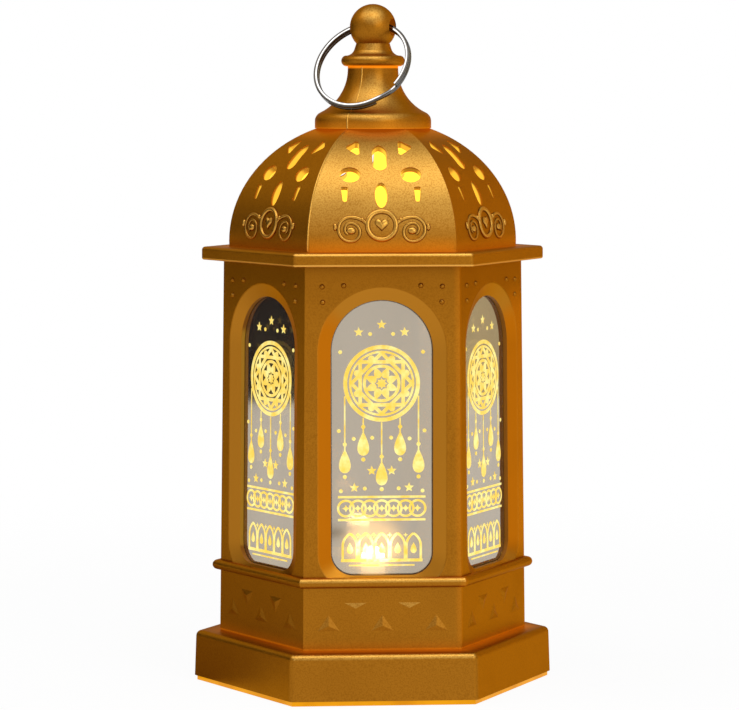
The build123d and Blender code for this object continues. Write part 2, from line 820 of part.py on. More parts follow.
def led_deck():
    """Floor of the lamp chamber, staked on the cage's bosses, with two posts for the board."""
    deck = hex_prism(cage_inner_apothem(deck_top) - deck_clearance, deck_foot, deck_top)
    post = rod(deck_post_radius, board_top, deck_foot)
    pilot = rod(small_screw_radius + thread_clearance, board_top, deck_top - deck_thickness / 2)
    for side in (-1, 1):
        place = Pos(side * board_screw_spacing / 2, 0, 0)
        deck += place * post
        deck -= place * pilot
    deck -= rod(deck_lamp_hole_radius, deck_foot, deck_top)
    return deck - [place * rod(stake_radius + stake_clearance, deck_foot, deck_top) for place in boss_places]


def led_board():
    """Small circuit board with holes for its screws, the lamp's legs and the resistor's leads."""
    board = block(board_length, board_width, board_foot, board_top)
    leg_hole_width = led_leg_width + 2 * lead_hole_clearance
    for side in (-1, 1):
        screw_hole = rod(small_screw_radius + screw_clearance, board_foot, board_top)
        leg_hole = block(leg_hole_width, leg_hole_width, board_foot, board_top)
        lead_hole = rod(resistor_lead_radius + lead_hole_clearance, board_foot, board_top)
        board -= Pos(side * board_screw_spacing / 2, 0, 0) * screw_hole
        board -= Pos(side * led_leg_spacing / 2, 0, 0) * leg_hole
        board -= Pos(side * resistor_lead_spacing / 2, resistor_across, 0) * lead_hole
    return board


def led_bulb():
    """Round lamp with a flange, a domed head and two square legs through the board."""
    shoulder = board_top + led_height - led_radius
    bulb = rod(led_flange_radius, board_top, board_top + led_flange_height)
    bulb += rod(led_radius, board_top, shoulder)
    bulb += Pos(0, 0, shoulder) * Sphere(led_radius)
    leg = block(led_leg_width, led_leg_width, board_top - led_leg_length, board_top)
    return bulb + [Pos(side * led_leg_spacing / 2, 0, 0) * leg for side in (-1, 1)]


def led_resistor():
    """Axial resistor under the board, with its two leads bent up into the board."""
    level = board_foot - resistor_gap - resistor_radius
    part = Pos(0, resistor_across, level) * Rot(0, 90, 0) * Cylinder(resistor_radius, resistor_length)
    part = fillet(part.edges().filter_by(GeomType.CIRCLE), resistor_radius / 3)
    for side in (-1, 1):
        end = side * resistor_lead_spacing / 2
        points = [
            (side * resistor_length / 4, resistor_across, level),
            (end, resistor_across, level),
            (end, resistor_across, board_top),
        ]
        part += tube_along(points, resistor_lead_radius, 2 * resistor_lead_radius)
    return part


def board_screws():
    """Two small screws, up through the board into the deck's posts."""
    length = board_thickness + deck_post_height
    one = screw(small_screw_head_radius, small_screw_head_height, small_screw_radius, length)
    return [Pos(side * board_screw_spacing / 2, 0, board_foot) * one for side in (-1, 1)]


wire_level = board_foot - wire_radius - wire_solder_gap
tail_wire_level = tail_top + wire_radius + wire_solder_gap
tail_end = (well_length - contact_thickness) / 2
terminal_top = cover_top + switch_height + terminal_length + wire_solder_gap
terminal_wire_level = terminal_top + wire_terminal_rise
pad_end = -board_length / 2 + wire_pad_inset


def wire_positive():
    """Lead from the flat contact's tail to an outer terminal of the switch."""
    points = [
        (tail_end, well_across - contact_tail_width / 2, tail_wire_level),
        (tail_end, well_across + wire_tail_run, tail_wire_level),
        (tail_end + wire_bow, switch_across - wire_bow_back, tail_wire_level - wire_bow_drop),
        (tail_end, switch_across, terminal_wire_level),
        (terminal_pitch, switch_across, terminal_wire_level),
        (terminal_pitch, switch_across, terminal_top),
    ]
    return tube_along(points, wire_radius, wire_bend_radius)


def wire_switched():
    """Lead from the switch's middle terminal to the board."""
    points = [
        (0, switch_across, terminal_top),
        (0, switch_across, terminal_wire_level),
        (pad_end, switch_across, wire_level),
        (pad_end, board_width / 2 - wire_pad_inset, wire_level),
    ]
    return tube_along(points, wire_radius, wire_bend_radius)


def wire_negative():
    """Lead from the sprung contact's tail to the board."""
    points = [
        (-tail_end, well_across - contact_tail_width / 2, tail_wire_level),
        (-tail_end, well_across + wire_tail_short_run, tail_wire_level),
        (-tail_end - wire_bow, 0, wire_level),
        (-tail_end, wire_pad_across, wire_level),
        (pad_end, wire_pad_across, wire_level),
    ]
    return tube_along(points, wire_radius, wire_bend_radius)


def nodes():
    """Every node of the lantern by name."""
    pieces = {
        "hanging_ring": hanging_ring(),
        "roof_shell": roof_shell(),
        "window_cage": window_cage(),
        "plinth": plinth(),
        "bottom_cover": bottom_cover(),
        "base_screws": Compound(children=base_screws()),
        "battery_door": battery_door(),
        "battery_cells": Compound(children=battery_cells()),
        "contact_positive": contact_positive(),
        "contact_negative": contact_negative(),
        "switch_housing": switch_housing(),
        "switch_slider": switch_slider(),
        "switch_screws": Compound(children=switch_screws()),
        "led_deck": led_deck(),
        "led_board": led_board(),
        "led_bulb": led_bulb(),
        "led_resistor": led_resistor(),
        "board_screws": Compound(children=board_screws()),
        "wire_positive": wire_positive(),
        "wire_switched": wire_switched(),
        "wire_negative": wire_negative(),
    }
    for index, pane in enumerate(around(window_pane())):
        pieces[f"window_pane_{index + 1}"] = pane
    return pieces


os.makedirs("parts", exist_ok=True)
for name, piece in nodes().items():
    export_step(piece, f"parts/{name}.step")
print(f"ring leans {math.degrees(ring_lean()):.2f} degrees, ball top {ball_level + ball_radius:.2f} mm")
print(f"ring hole at {ring_hole_level:.3f} mm, ring centre {ring_centre_distance:.3f} mm from it")
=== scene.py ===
import logging
import math
from contextlib import contextmanager
from dataclasses import dataclass
from enum import Enum
from functools import cached_property
from typing import Callable, Iterator, Optional, Sequence, Union

import bpy
from bpy.types import Material, MeshVertex, Node, NodeSocket, NodeTree, Object
from mathutils import Matrix, Vector


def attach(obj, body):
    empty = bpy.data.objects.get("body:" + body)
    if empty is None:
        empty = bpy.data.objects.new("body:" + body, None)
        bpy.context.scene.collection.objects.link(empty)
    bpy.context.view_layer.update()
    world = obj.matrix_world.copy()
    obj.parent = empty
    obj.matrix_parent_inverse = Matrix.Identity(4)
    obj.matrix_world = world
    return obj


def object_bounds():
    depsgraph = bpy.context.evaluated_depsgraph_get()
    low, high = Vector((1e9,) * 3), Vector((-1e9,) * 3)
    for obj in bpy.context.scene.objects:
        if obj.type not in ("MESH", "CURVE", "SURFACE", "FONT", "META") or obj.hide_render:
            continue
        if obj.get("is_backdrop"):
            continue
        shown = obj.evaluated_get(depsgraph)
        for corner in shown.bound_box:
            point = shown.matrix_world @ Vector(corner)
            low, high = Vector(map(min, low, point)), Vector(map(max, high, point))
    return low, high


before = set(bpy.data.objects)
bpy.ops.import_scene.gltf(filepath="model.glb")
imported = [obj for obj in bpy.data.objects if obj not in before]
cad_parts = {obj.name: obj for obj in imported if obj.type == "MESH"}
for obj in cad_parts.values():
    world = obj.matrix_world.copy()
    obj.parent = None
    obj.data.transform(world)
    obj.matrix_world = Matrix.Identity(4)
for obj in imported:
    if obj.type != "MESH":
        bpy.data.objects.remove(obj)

LOG = logging.getLogger("fanous_lantern")
MM = 0.001
FACETS = 6
BODY = "lantern"
Colour = tuple[float, float, float]
Spot = tuple[float, float]
Inputs = dict[str, object]
Value = Union["Signal", float]
Tint = Union["Signal", Colour]

ORIGIN: Colour = (0.0, 0.0, 0.0)
UP: Colour = (0.0, 0.0, 1.0)
DOWN: Colour = (0.0, 0.0, -1.0)
FLAT: Colour = (1.0, 1.0, 0.0)
WHITE: Colour = (1.0, 1.0, 1.0)

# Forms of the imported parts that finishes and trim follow, in mm, with CAGE_LEAN as a slope
PLINTH_TOP = 10.4
CAGE_FACE = 27.72
CAGE_LEAN = 0.01168
SILL, ARCH_TOP = 25.4, 80.65
EAVE_FOOT, EAVE_TOP, EAVE_REACH = 87.5, 90.2, 30.7
DOME_RADIUS, DOME_AXIS_OUT, DOME_AXIS_LEVEL = 25.0, 0.75, 91.3
DOME_FOOT_REACH, DOME_CROWN, SKIRT_REACH = 25.6, 114.3, 24.4
COLLAR_FOOT = 127.1
BALL_CENTRE: Colour = (0.0, 0.0, 135.2)
LAMP_PLACE: Colour = (-1.6, -10.0, 31.2)

GOLD: Colour = (0.40, 0.152, 0.010)
BRONZE: Colour = (0.26, 0.088, 0.004)
# PALE_GOLD lays the dome's relief and the roof's seam paler than the shell, a painted highlight on them.
PALE_GOLD: Colour = (0.66, 0.34, 0.060)
DEEP_GOLD: Colour = (0.48, 0.20, 0.018)


class Side(Enum):
    """Sides of the lantern that the camera sees, by their direction in degrees from +X."""

    LEFT = 210.0
    FRONT = 270.0
    RIGHT = 330.0


class Slot(Enum):
    """Names of two material slots, which nothing in the scene uses."""

    SHELL = "gold_shell"
    LAMP = "lamp_warm"


def heading(degrees: float) -> Colour:
    """Level direction at an angle from +X."""
    return math.cos(math.radians(degrees)), math.sin(math.radians(degrees)), 0.0


JAMB_FACE = heading(300.0)
RIGHT_FACE = heading(Side.RIGHT.value)


class Signal:
    """Output of a shader node. Arithmetic on it lays out Math nodes."""

    def __init__(self, bench: "NodeBench", socket: NodeSocket) -> None:
        """Keeps the output and the bench that its node lies on."""
        self.bench, self.socket = bench, socket

    def __add__(self, other: Value) -> "Signal":
        """Sum."""
        return self.bench.math("ADD", self, other)

    def __sub__(self, other: Value) -> "Signal":
        """Difference."""
        return self.bench.math("SUBTRACT", self, other)

    def __rsub__(self, other: float) -> "Signal":
        """Difference from a number."""
        return self.bench.math("SUBTRACT", other, self)

    def __mul__(self, other: Value) -> "Signal":
        """Product."""
        return self.bench.math("MULTIPLY", self, other)

    def __truediv__(self, other: Value) -> "Signal":
        """Ratio."""
        return self.bench.math("DIVIDE", self, other)

    def __abs__(self) -> "Signal":
        """Value without its sign."""
        return self.bench.math("ABSOLUTE", self)

    def root(self) -> "Signal":
        """Square root."""
        return self.bench.math("SQRT", self)

    def least(self, other: Value) -> "Signal":
        """The smaller of this and another."""
        return self.bench.math("MINIMUM", self, other)

    def most(self, *others: Value) -> "Signal":
        """The largest of this and others."""
        result = self
        for other in others:
            result = self.bench.math("MAXIMUM", result, other)
        return result

    def fade(self, start: float, end: float) -> "Signal":
        """Smooth step.

        Args:
            start: Value that gives 0.
            end: Value that gives 1.

        Returns:
            The step.
        """
        low, high = sorted((start, end))
        node = self.bench.add("MapRange", {
            "Value": self, "From Min": low, "From Max": high,
            "To Min": float(start > end), "To Max": float(start < end),
        }, interpolation_type="SMOOTHSTEP", clamp=True)
        return Signal(self.bench, node.outputs["Result"])

    def band(self, centre: float, reach: float) -> "Signal":
        """Soft band that is 1 at a centre and 0 at a reach either side of it."""
        return abs(self - centre).fade(reach, 0.0)

    def blend(self, first: Tint, second: Tint) -> "Signal":
        """Mixes two colours.

        Args:
            first: Colour where this is 0.
            second: Colour where this is 1.

        Returns:
            The mixed colour.
        """
        node = self.bench.add(
            "Mix", {"Factor_Float": self, "A_Color": first, "B_Color": second}, data_type="RGBA")
        return Signal(self.bench, next(s for s in node.outputs if s.identifier == "Result_Color"))


class NodeBench:
    """Lays out and joins the shader nodes of one material or world. Its places are in mm."""

    def __init__(self, tree: NodeTree) -> None:
        """Takes a node tree and empties it."""
        self.tree = tree
        tree.nodes.clear()

    def add(self, kind: str, inputs: Optional[Inputs] = None, **settings: object) -> Node:
        """Adds a node.

        Args:
            kind: Blender's node type, without its first word.
            inputs: What its inputs get.
            settings: Its properties, by name.

        Returns:
            The new node.
        """
        node = self.tree.nodes.new("ShaderNode" + kind)
        for name, value in settings.items():
            setattr(node, name, value)
        self.drive(node, inputs or {})
        return node

    def drive(self, node: Node, inputs: Inputs) -> None:
        """Links a node's inputs, or sets plain values on them.

        Args:
            node: The node.
            inputs: Signals, sockets, numbers or tuples, by the inputs' identifiers.
        """
        for key, value in inputs.items():
            socket = next(s for s in node.inputs if s.identifier == key)
            if isinstance(value, Signal):
                value = value.socket
            if isinstance(value, NodeSocket):
                self.tree.links.new(value, socket)
            else:
                socket.default_value = (*value, 1.0) if socket.type == "RGBA" else value

    def show(self, shader: Node, kind: str = "Material") -> None:
        """Joins a shader to the output of a material or a world."""
        self.add("Output" + kind, {"Surface": shader.outputs[0]})

    def math(self, operation: str, first: Value, second: Value = 0.0) -> Signal:
        """Result of a Math node."""
        node = self.add("Math", {"Value": first, "Value_001": second}, operation=operation)
        return Signal(self, node.outputs[0])

    def vector(self, operation: str, first: object, second: Colour = ORIGIN,
               output: str = "Vector") -> Signal:
        """Result of a Vector Math node."""
        node = self.add("VectorMath", {"Vector": first, "Vector_001": second}, operation=operation)
        return Signal(self, node.outputs[output])

    def along(self, vector: object, direction: Colour) -> Signal:
        """How far a vector reaches in a direction."""
        return self.vector("DOT_PRODUCT", vector, direction, "Value")

    def noise(self, scale: float, detail: float = 2.0, roughness: float = 0.5,
              stretch: Colour = (1.0, 1.0, 1.0)) -> Signal:
        """Noise on Object coordinates.

        Args:
            scale: Its scale, per metre.
            detail: Octaves.
            roughness: Weight of the fine octaves.
            stretch: Scale of each axis.

        Returns:
            The noise, about 0.5 on average.
        """
        mapping = self.add("Mapping", {"Vector": self.metres, "Scale": stretch})
        node = self.add("TexNoise", {
            "Vector": mapping.outputs[0], "Scale": scale, "Detail": detail, "Roughness": roughness})
        return Signal(self, node.outputs["Fac"])

    @cached_property
    def metres(self) -> Signal:
        """Object coordinates, in metres."""
        return Signal(self, self.add("TexCoord").outputs["Object"])

    @cached_property
    def place(self) -> Signal:
        """Object coordinates, in mm."""
        return self.vector("MULTIPLY", self.metres, (1 / MM,) * 3)

    @cached_property
    def across(self) -> Signal:
        """Distance to the right of the axis."""
        return self.along(self.place, heading(0.0))

    @cached_property
    def height(self) -> Signal:
        """Height above the table."""
        return self.along(self.place, UP)

    @cached_property
    def reach(self) -> Signal:
        """Distance from the axis."""
        return self.vector("LENGTH", self.vector("MULTIPLY", self.place, FLAT), output="Value")

    @cached_property
    def hexagon(self) -> Signal:
        """Distance from the axis, measured square to the nearest facet."""
        turns = [90.0 + 360.0 / FACETS * index for index in range(FACETS // 2)]
        first, *others = [abs(self.along(self.place, heading(turn))) for turn in turns]
        return first.most(*others)

    @cached_property
    def dome_depth(self) -> Signal:
        """Depth below the dome's outer face, and below 0 on what stands proud of it."""
        out, rise = self.hexagon - DOME_AXIS_OUT, self.height - DOME_AXIS_LEVEL
        return DOME_RADIUS - (out * out + rise * rise).root()

    @cached_property
    def cage_depth(self) -> Signal:
        """Depth below the outer face of the cage's walls, which lean inwards."""
        return CAGE_FACE - (self.height * CAGE_LEAN + self.hexagon)

    def distance(self, point: Colour) -> Signal:
        """Distance from a point."""
        return self.vector("LENGTH", self.vector("SUBTRACT", self.place, point), output="Value")

    def sector(self, side: Side) -> Signal:
        """1 on one of the lantern's six sides and 0 on the others."""
        return (self.hexagon - self.along(self.place, heading(side.value))).fade(0.6, 0.1)

    def facing(self, direction: Colour) -> Signal:
        """How far the surface faces a direction: 1 towards it, -1 away from it."""
        normal = self.add("NewGeometry").outputs["Normal"]
        return self.along(normal, tuple(Vector(direction).normalized()))

    def bump(self, height: Signal, strength: float, distance: float) -> Signal:
        """Bumped normal, from a height, a strength and the height of a full step in metres."""
        node = self.add("Bump", {"Height": height, "Strength": strength, "Distance": distance})
        return Signal(self, node.outputs["Normal"])


def node_material(name: str) -> tuple[Material, NodeBench]:
    """A new material and the bench for its nodes."""
    material = bpy.data.materials.new(name)
    material.use_nodes = True
    return material, NodeBench(material.node_tree)


@dataclass(frozen=True)
class Finish:
    """A plain finish.

    Attributes:
        name: Name of the material.
        colour: Main colour, linear.
        shade: Colour that patches of it drift to; the gold paints also lay it as painted shade under the eave
            and on the sides of openings.
        roughness: Middle roughness.
        metallic: Metal share.
        grain: Scale of its fine grain, per metre.
        spread: Range of its roughness.
    """

    name: str
    colour: Colour
    shade: Colour
    roughness: float = 0.4
    metallic: float = 0.0
    grain: float = 2500.0
    spread: float = 0.16

    def material(self) -> Material:
        """Makes the material."""
        material, bench = node_material(self.name)
        shader = bench.add("BsdfPrincipled", {"Metallic": self.metallic})
        bench.drive(shader, self.paint(bench))
        bench.show(shader)
        return material

    def gloss(self, grain: Signal) -> Signal:
        """Roughness that varies with a grain."""
        return grain * self.spread + (self.roughness - self.spread / 2)

    def paint(self, bench: NodeBench) -> Inputs:
        """Lays out the finish.

        Args:
            bench: Nodes of the material.

        Returns:
            What the shader's inputs get.
        """
        patches = bench.noise(self.grain / 40, 3.0)
        fine = bench.noise(self.grain, 2.0, 0.6)
        return {
            "Base Color": patches.fade(0.3, 0.7).blend(self.colour, self.shade),
            "Roughness": self.gloss(fine),
            "Normal": bench.bump(fine, 0.15, 0.00005),
        }


@dataclass(frozen=True)
class GoldPaint(Finish):
    """Gold flake paint on amber plastic, with a painted highlight on faces turned to the front and top, and a
    painted glow that stands for the lamp's light showing through where the paint is thin.

    Attributes:
        painted_highlight: Paler gold, laid as a painted highlight on faces turned towards highlight_facing.
        highlight_facing: Direction, to the front and above, of the faces that get the painted highlight.
        edge_tint: Tint of the paint's gloss at a glancing angle.
        leak_colour: Colour of the light that shows through.
        flake: Scale of the flakes, per metre.
        flake_share: Strength of the flakes' darker sides.
        cloud: Scale of the paint's clouds, per metre.
        cloud_share: Strength of the clouds.
    """

    painted_highlight: Colour = (0.52, 0.285, 0.055)
    highlight_facing: Colour = (-0.05, -0.80, 0.60)
    edge_tint: Colour = (0.85, 0.53, 0.40)
    leak_colour: Colour = (1.0, 0.235, 0.003)
    flake: float = 3600.0
    flake_share: float = 0.55
    cloud: float = 70.0
    cloud_share: float = 0.18

    def paint(self, bench: NodeBench) -> Inputs:
        """Lays out the flakes, the painted highlight and the painted glow that stands for light leaking
        through.

        Args:
            bench: Nodes of the material.

        Returns:
            What the shader's inputs get.
        """
        flakes = bench.noise(self.flake, 1.0, 0.7)
        cloud = bench.noise(self.cloud)
        # Painted highlight: faces turned to the front and top get paler gold.
        gold = bench.facing(self.highlight_facing).fade(0.80, 1.0).blend(self.colour, self.painted_highlight)
        gold = (flakes.fade(0.62, 0.30) * self.flake_share).blend(gold, self.shade)
        gold = (cloud.fade(0.6, 0.3) * self.cloud_share).blend(gold, self.shade)
        return {
            "Roughness": self.gloss(flakes),
            "Normal": bench.bump(flakes, 0.16, 0.00004),
            "Specular Tint": self.edge_tint,
            **self.coat(bench, self.tone(bench, gold), self.leak(bench) * (cloud * 0.5 + 0.75)),
        }

    def tone(self, bench: NodeBench, gold: Signal) -> Signal:
        """Paint's colour with what is special to a moulding. This paint has nothing special."""
        return gold

    def leak(self, bench: NodeBench) -> Signal:
        """Painted glow that stands for light showing through, on the plinth: on its top beside the cage,
        weakening towards the left as painted shade, and faintly on its right side as painted light.
        """
        # Painted shade and light by side: the glow weakens towards the left, and only right-facing faces get
        # the faint glow.
        lit = bench.across.fade(-22.0, -14.0) * 0.14 + 0.06
        top = bench.facing(UP).fade(0.9, 0.99) * bench.hexagon.fade(31.2, 28.0) * lit
        return top.most(bench.facing(RIGHT_FACE).fade(0.9, 0.995) * 0.03)

    def coat(self, bench: NodeBench, gold: Signal, leak: Signal) -> Inputs:
        """What the shader's colour and light get. This paint covers all of its moulding."""
        return {"Base Color": gold, "Emission Color": self.leak_colour, "Emission Strength": leak}


@dataclass(frozen=True)
class ReliefPaint(GoldPaint):
    """Gold paint on the raised ornament of the dome.

    Attributes:
        foot_shade: Colour at the ornament's foot, a painted shade, where it differs.
    """

    foot_shade: Optional[Colour] = None

    def tone(self, bench: NodeBench, gold: Signal) -> Signal:
        """Darkens the paint at the ornament's foot, as painted shade."""
        if self.foot_shade is None:
            return gold
        # Painted shade at the ornament's foot.
        return bench.dome_depth.fade(-0.30, -0.08).blend(gold, self.foot_shade)

    def leak(self, bench: NodeBench) -> Signal:
        """A trace of light low on the dome, where the ornament stands in the glow."""
        return bench.height.band(EAVE_TOP, 3.6) * 0.20


@dataclass(frozen=True)
class LinedPaint(GoldPaint):
    """Gold paint on a hollow moulding whose openings and inner face are bare amber plastic.

    Attributes:
        glow_colour: Colour of the lit inner face.
        wall_colour: Colour of the light on the sides of the openings.
        lining: Light on the inner face.
    """

    glow_colour: Colour = (1.0, 0.70, 0.080)
    wall_colour: Colour = (1.0, 0.61, 0.048)
    lining: float = 0.95

    def bare(self, bench: NodeBench) -> tuple[Signal, Signal, Signal]:
        """Masks of the bare plastic.

        Args:
            bench: Nodes of the material.

        Returns:
            1 on the sides of the openings, the light on them, and 1 on the inner face.
        """
        raise NotImplementedError

    def coat(self, bench: NodeBench, gold: Signal, leak: Signal) -> Inputs:
        """Leaves the bare plastic free of paint, and lays the shade colour on the sides of the openings as
        painted shade.

        Args:
            bench: Nodes of the material.
            gold: Colour of the paint.
            leak: Light that shows through the paint.

        Returns:
            What the shader's colour, light and metal share get.
        """
        wall, lit, inside = self.bare(bench)
        light = wall.blend(self.leak_colour, self.wall_colour)
        return {
            # Painted shade: the sides of the openings take the shade colour.
            "Base Color": inside.blend(wall.blend(gold, self.shade), self.glow_colour),
            "Emission Color": inside.blend(light, self.glow_colour),
            "Emission Strength": leak.most(lit, inside * self.lining),
            "Metallic": (1.0 - wall.most(inside)) * self.metallic,
        }


@dataclass(frozen=True)
class RoofPaint(LinedPaint):
    """Gold paint on the roof with its pierced dome.

    Attributes:
        painted_edge: Colour of a painted highlight along the edges of the eave.
    """

    painted_edge: Colour = (0.90, 0.47, 0.090)

    def tone(self, bench: NodeBench, gold: Signal) -> Signal:
        """Painted highlight along the eave's upper and lower edges, most of all at the front."""
        # Painted highlight: paler edges on the eave, most at the front.
        front = bench.sector(Side.FRONT)
        low = bench.height.fade(EAVE_FOOT + 0.5, EAVE_FOOT + 0.25) * (front * 0.38 + 0.52)
        high = bench.height.fade(EAVE_TOP - 0.6, EAVE_TOP - 0.3) * (front * 0.37 + 0.05)
        edge = bench.hexagon.fade(EAVE_REACH - 0.7, EAVE_REACH - 0.4)
        return (edge * low.most(high)).blend(gold, self.painted_edge)

    def bare(self, bench: NodeBench) -> tuple[Signal, Signal, Signal]:
        """Masks of the bare plastic: the sides of the holes, the light on them, and the inner face."""
        height, depth = bench.height, bench.dome_depth
        dome = height.fade(EAVE_TOP + 0.1, EAVE_TOP + 0.3) * height.fade(DOME_CROWN, DOME_CROWN - 0.2)
        inside = dome * depth.fade(1.62, 1.72)
        hole = dome * depth.fade(0.10, 0.22) * (1.0 - inside)
        deeper = depth.fade(0.18, 0.60) * 0.80 + 0.08
        shaded = 1.0 - bench.facing(DOWN).fade(0.30, 0.75) * 0.78
        skirt = bench.hexagon.fade(SKIRT_REACH, SKIRT_REACH - 0.15) * 0.75
        skirt = height.fade(EAVE_TOP + 0.3, EAVE_TOP + 0.1) * skirt
        return hole, hole * deeper * shaded, inside.most(skirt)

    def leak(self, bench: NodeBench) -> Signal:
        """Painted glow that stands for light showing through at the feet of dome, flange and collar and in
        the ring's hole, a painted highlight line at the flange's foot, painted shade that weakens the foot's
        glow on the left and right, and a faint painted light on the right side.
        """
        height = bench.height
        # Painted shade: the foot's glow is weaker on the left and right sides.
        side_shade = (bench.sector(Side.LEFT) * 0.72).most(bench.sector(Side.RIGHT) * 0.30)
        foot = height.fade(EAVE_TOP + 3.8, EAVE_TOP + 0.1) * height.fade(EAVE_TOP - 0.15, EAVE_TOP + 0.05)
        foot = foot * bench.hexagon.fade(DOME_FOOT_REACH + 3.0, DOME_FOOT_REACH) * 0.27 * (1.0 - side_shade)
        flange = height.band(DOME_CROWN, 2.6) * 0.22
        # Painted highlight: a thin bright line at the flange's foot.
        line = height.band(DOME_CROWN + 0.3, 0.30) * 0.40
        collar = height.band(COLLAR_FOOT, 0.5) * 0.90
        bore = bench.distance(BALL_CENTRE).fade(4.72, 4.55) * 0.13
        # Painted light by side: right-facing faces get a faint glow.
        right = bench.facing((0.8, -0.6, 0.1)).fade(0.75, 0.95) * 0.04
        return foot.most(flange, line, collar, bore, right)


@dataclass(frozen=True)
class CagePaint(LinedPaint):
    """Gold paint on the window cage.

    Attributes:
        surround_highlight: Colour of the bevelled window surrounds, paler as a painted highlight.
        jamb: Colour of their left sides, a deeper orange to go with the painted glow that only faces turned
            that way get.
    """

    surround_highlight: Colour = (0.462, 0.186, 0.0155)
    jamb: Colour = (0.37, 0.118, 0.003)

    def tone(self, bench: NodeBench, gold: Signal) -> Signal:
        """Painted highlight on the window surrounds, a deeper orange on their left sides, and painted shade
        under the eave.
        """
        depth = bench.cage_depth
        bevel = depth.fade(0.03, 0.12) * depth.fade(1.16, 1.06)
        lit = bench.facing(JAMB_FACE).fade(0.93, 0.985)
        gold = bevel.blend(gold, lit.blend(self.surround_highlight, self.jamb))
        # Painted shade: the wall darkens towards the eave.
        shaded = bench.height.fade(EAVE_FOOT - 17.5, EAVE_FOOT - 1.5) * depth.fade(0.12, 0.02) * 0.38
        return shaded.blend(gold, self.shade)

    def bare(self, bench: NodeBench) -> tuple[Signal, Signal, Signal]:
        """Masks of the bare plastic: the reveals of the windows, which take the shade colour as a painted
        shadow, the light on them, and the inner face.
        """
        inside = bench.cage_depth.fade(2.24, 2.36)
        reveal = bench.cage_depth.fade(1.08, 1.16) * (1.0 - inside)
        return reveal, reveal * 0.012, inside

    def leak(self, bench: NodeBench) -> Signal:
        """Painted glow at the cage's foot that stands for light showing through, and painted light on the
        jambs that face right, on the arrises and piers of the right side and faintly on that side's faces.
        """
        height = bench.height
        foot = height.band(PLINTH_TOP, 2.8) * 0.085
        line = height.band(PLINTH_TOP + 0.22, 0.50) * 0.25
        windows = height.fade(SILL - 1.4, SILL + 4.6) * height.fade(ARCH_TOP + 5.35, ARCH_TOP - 4.65)
        # Painted light by side: only jambs facing right-front, the right-hand piers and faces, and arrises on
        # the right get it.
        jamb = bench.facing(JAMB_FACE).fade(0.93, 0.985) * windows * 0.15
        right = bench.facing(RIGHT_FACE).fade(0.97, 0.995)
        pier = bench.across.fade(24.5, 28.5) * right * windows * 0.16
        arris = (bench.reach / bench.hexagon).fade(1.128, 1.150) * bench.across.fade(8.0, 12.0) * 0.09
        return foot.most(line, jamb, pier, right * 0.035, arris)


@dataclass(frozen=True)
class HalfMirror(Finish):
    """Half-mirrored acrylic that lets a little of the lamp through. Sizes are in mm.

    Attributes:
        cover: Share of the light that it stops.
        lamp_cover: That share where the pane is nearest to the lamp.
        lamp_colour: Colour of the light that the acrylic scatters there.
        lamp_glow: Strength of that light.
        half_width: Half of the window opening's width.
        arch_level: Height of the middle of its arch.
        corner_level: Height of the middles of its two sill corners.
        corner_radius: Radius of those corners.
        shadow: Colour of the shadow where the pane meets the opening.
    """

    cover: float = 0.86
    lamp_cover: float = 0.55
    lamp_colour: Colour = (1.0, 0.62, 0.22)
    lamp_glow: float = 0.75
    half_width: float = 10.25
    arch_level: float = 70.4
    corner_level: float = 29.9
    corner_radius: float = 4.5
    shadow: Colour = (0.035, 0.020, 0.010)

    def paint(self, bench: NodeBench) -> Inputs:
        """Lays out the mirror's tone, its faint ripple and the lamp behind it.

        Args:
            bench: Nodes of the material.

        Returns:
            What the shader's inputs get.
        """
        streaks = bench.noise(60.0, 3.0, 0.5, (1.0, 1.0, 0.35))
        mirror = streaks.fade(0.3, 0.7).blend(self.colour, self.shade)
        # Painted shadow along the outline of the window's opening.
        painted_edge = self.margin(bench).fade(0.34, 0.10) * 0.9
        near = bench.distance(LAMP_PLACE).fade(17.2, 15.4)
        return {
            "Base Color": painted_edge.blend(mirror, self.shadow),
            "Roughness": streaks * 0.05 + (self.roughness - 0.02),
            "Normal": bench.bump(bench.noise(45.0, 1.0), 0.12, 0.0002),
            "Emission Color": self.lamp_colour,
            "Emission Strength": near * near * self.lamp_glow,
            "Alpha": near * (self.lamp_cover - self.cover) + self.cover,
        }

    def margin(self, bench: NodeBench) -> Signal:
        """Distance in from the outline of the window's opening.

        Args:
            bench: Nodes of the material.

        Returns:
            The distance, below 0 where the pane lies behind the cage's wall.
        """
        side = (bench.reach * bench.reach - bench.hexagon * bench.hexagon).root()
        rise = (bench.height - self.arch_level).most(0.0)
        drop = (self.corner_level - bench.height).most(0.0)
        past = (side - (self.half_width - self.corner_radius)).most(0.0)
        arch = self.half_width - (side * side + rise * rise).root()
        return arch.least(self.corner_radius - (past * past + drop * drop).root())


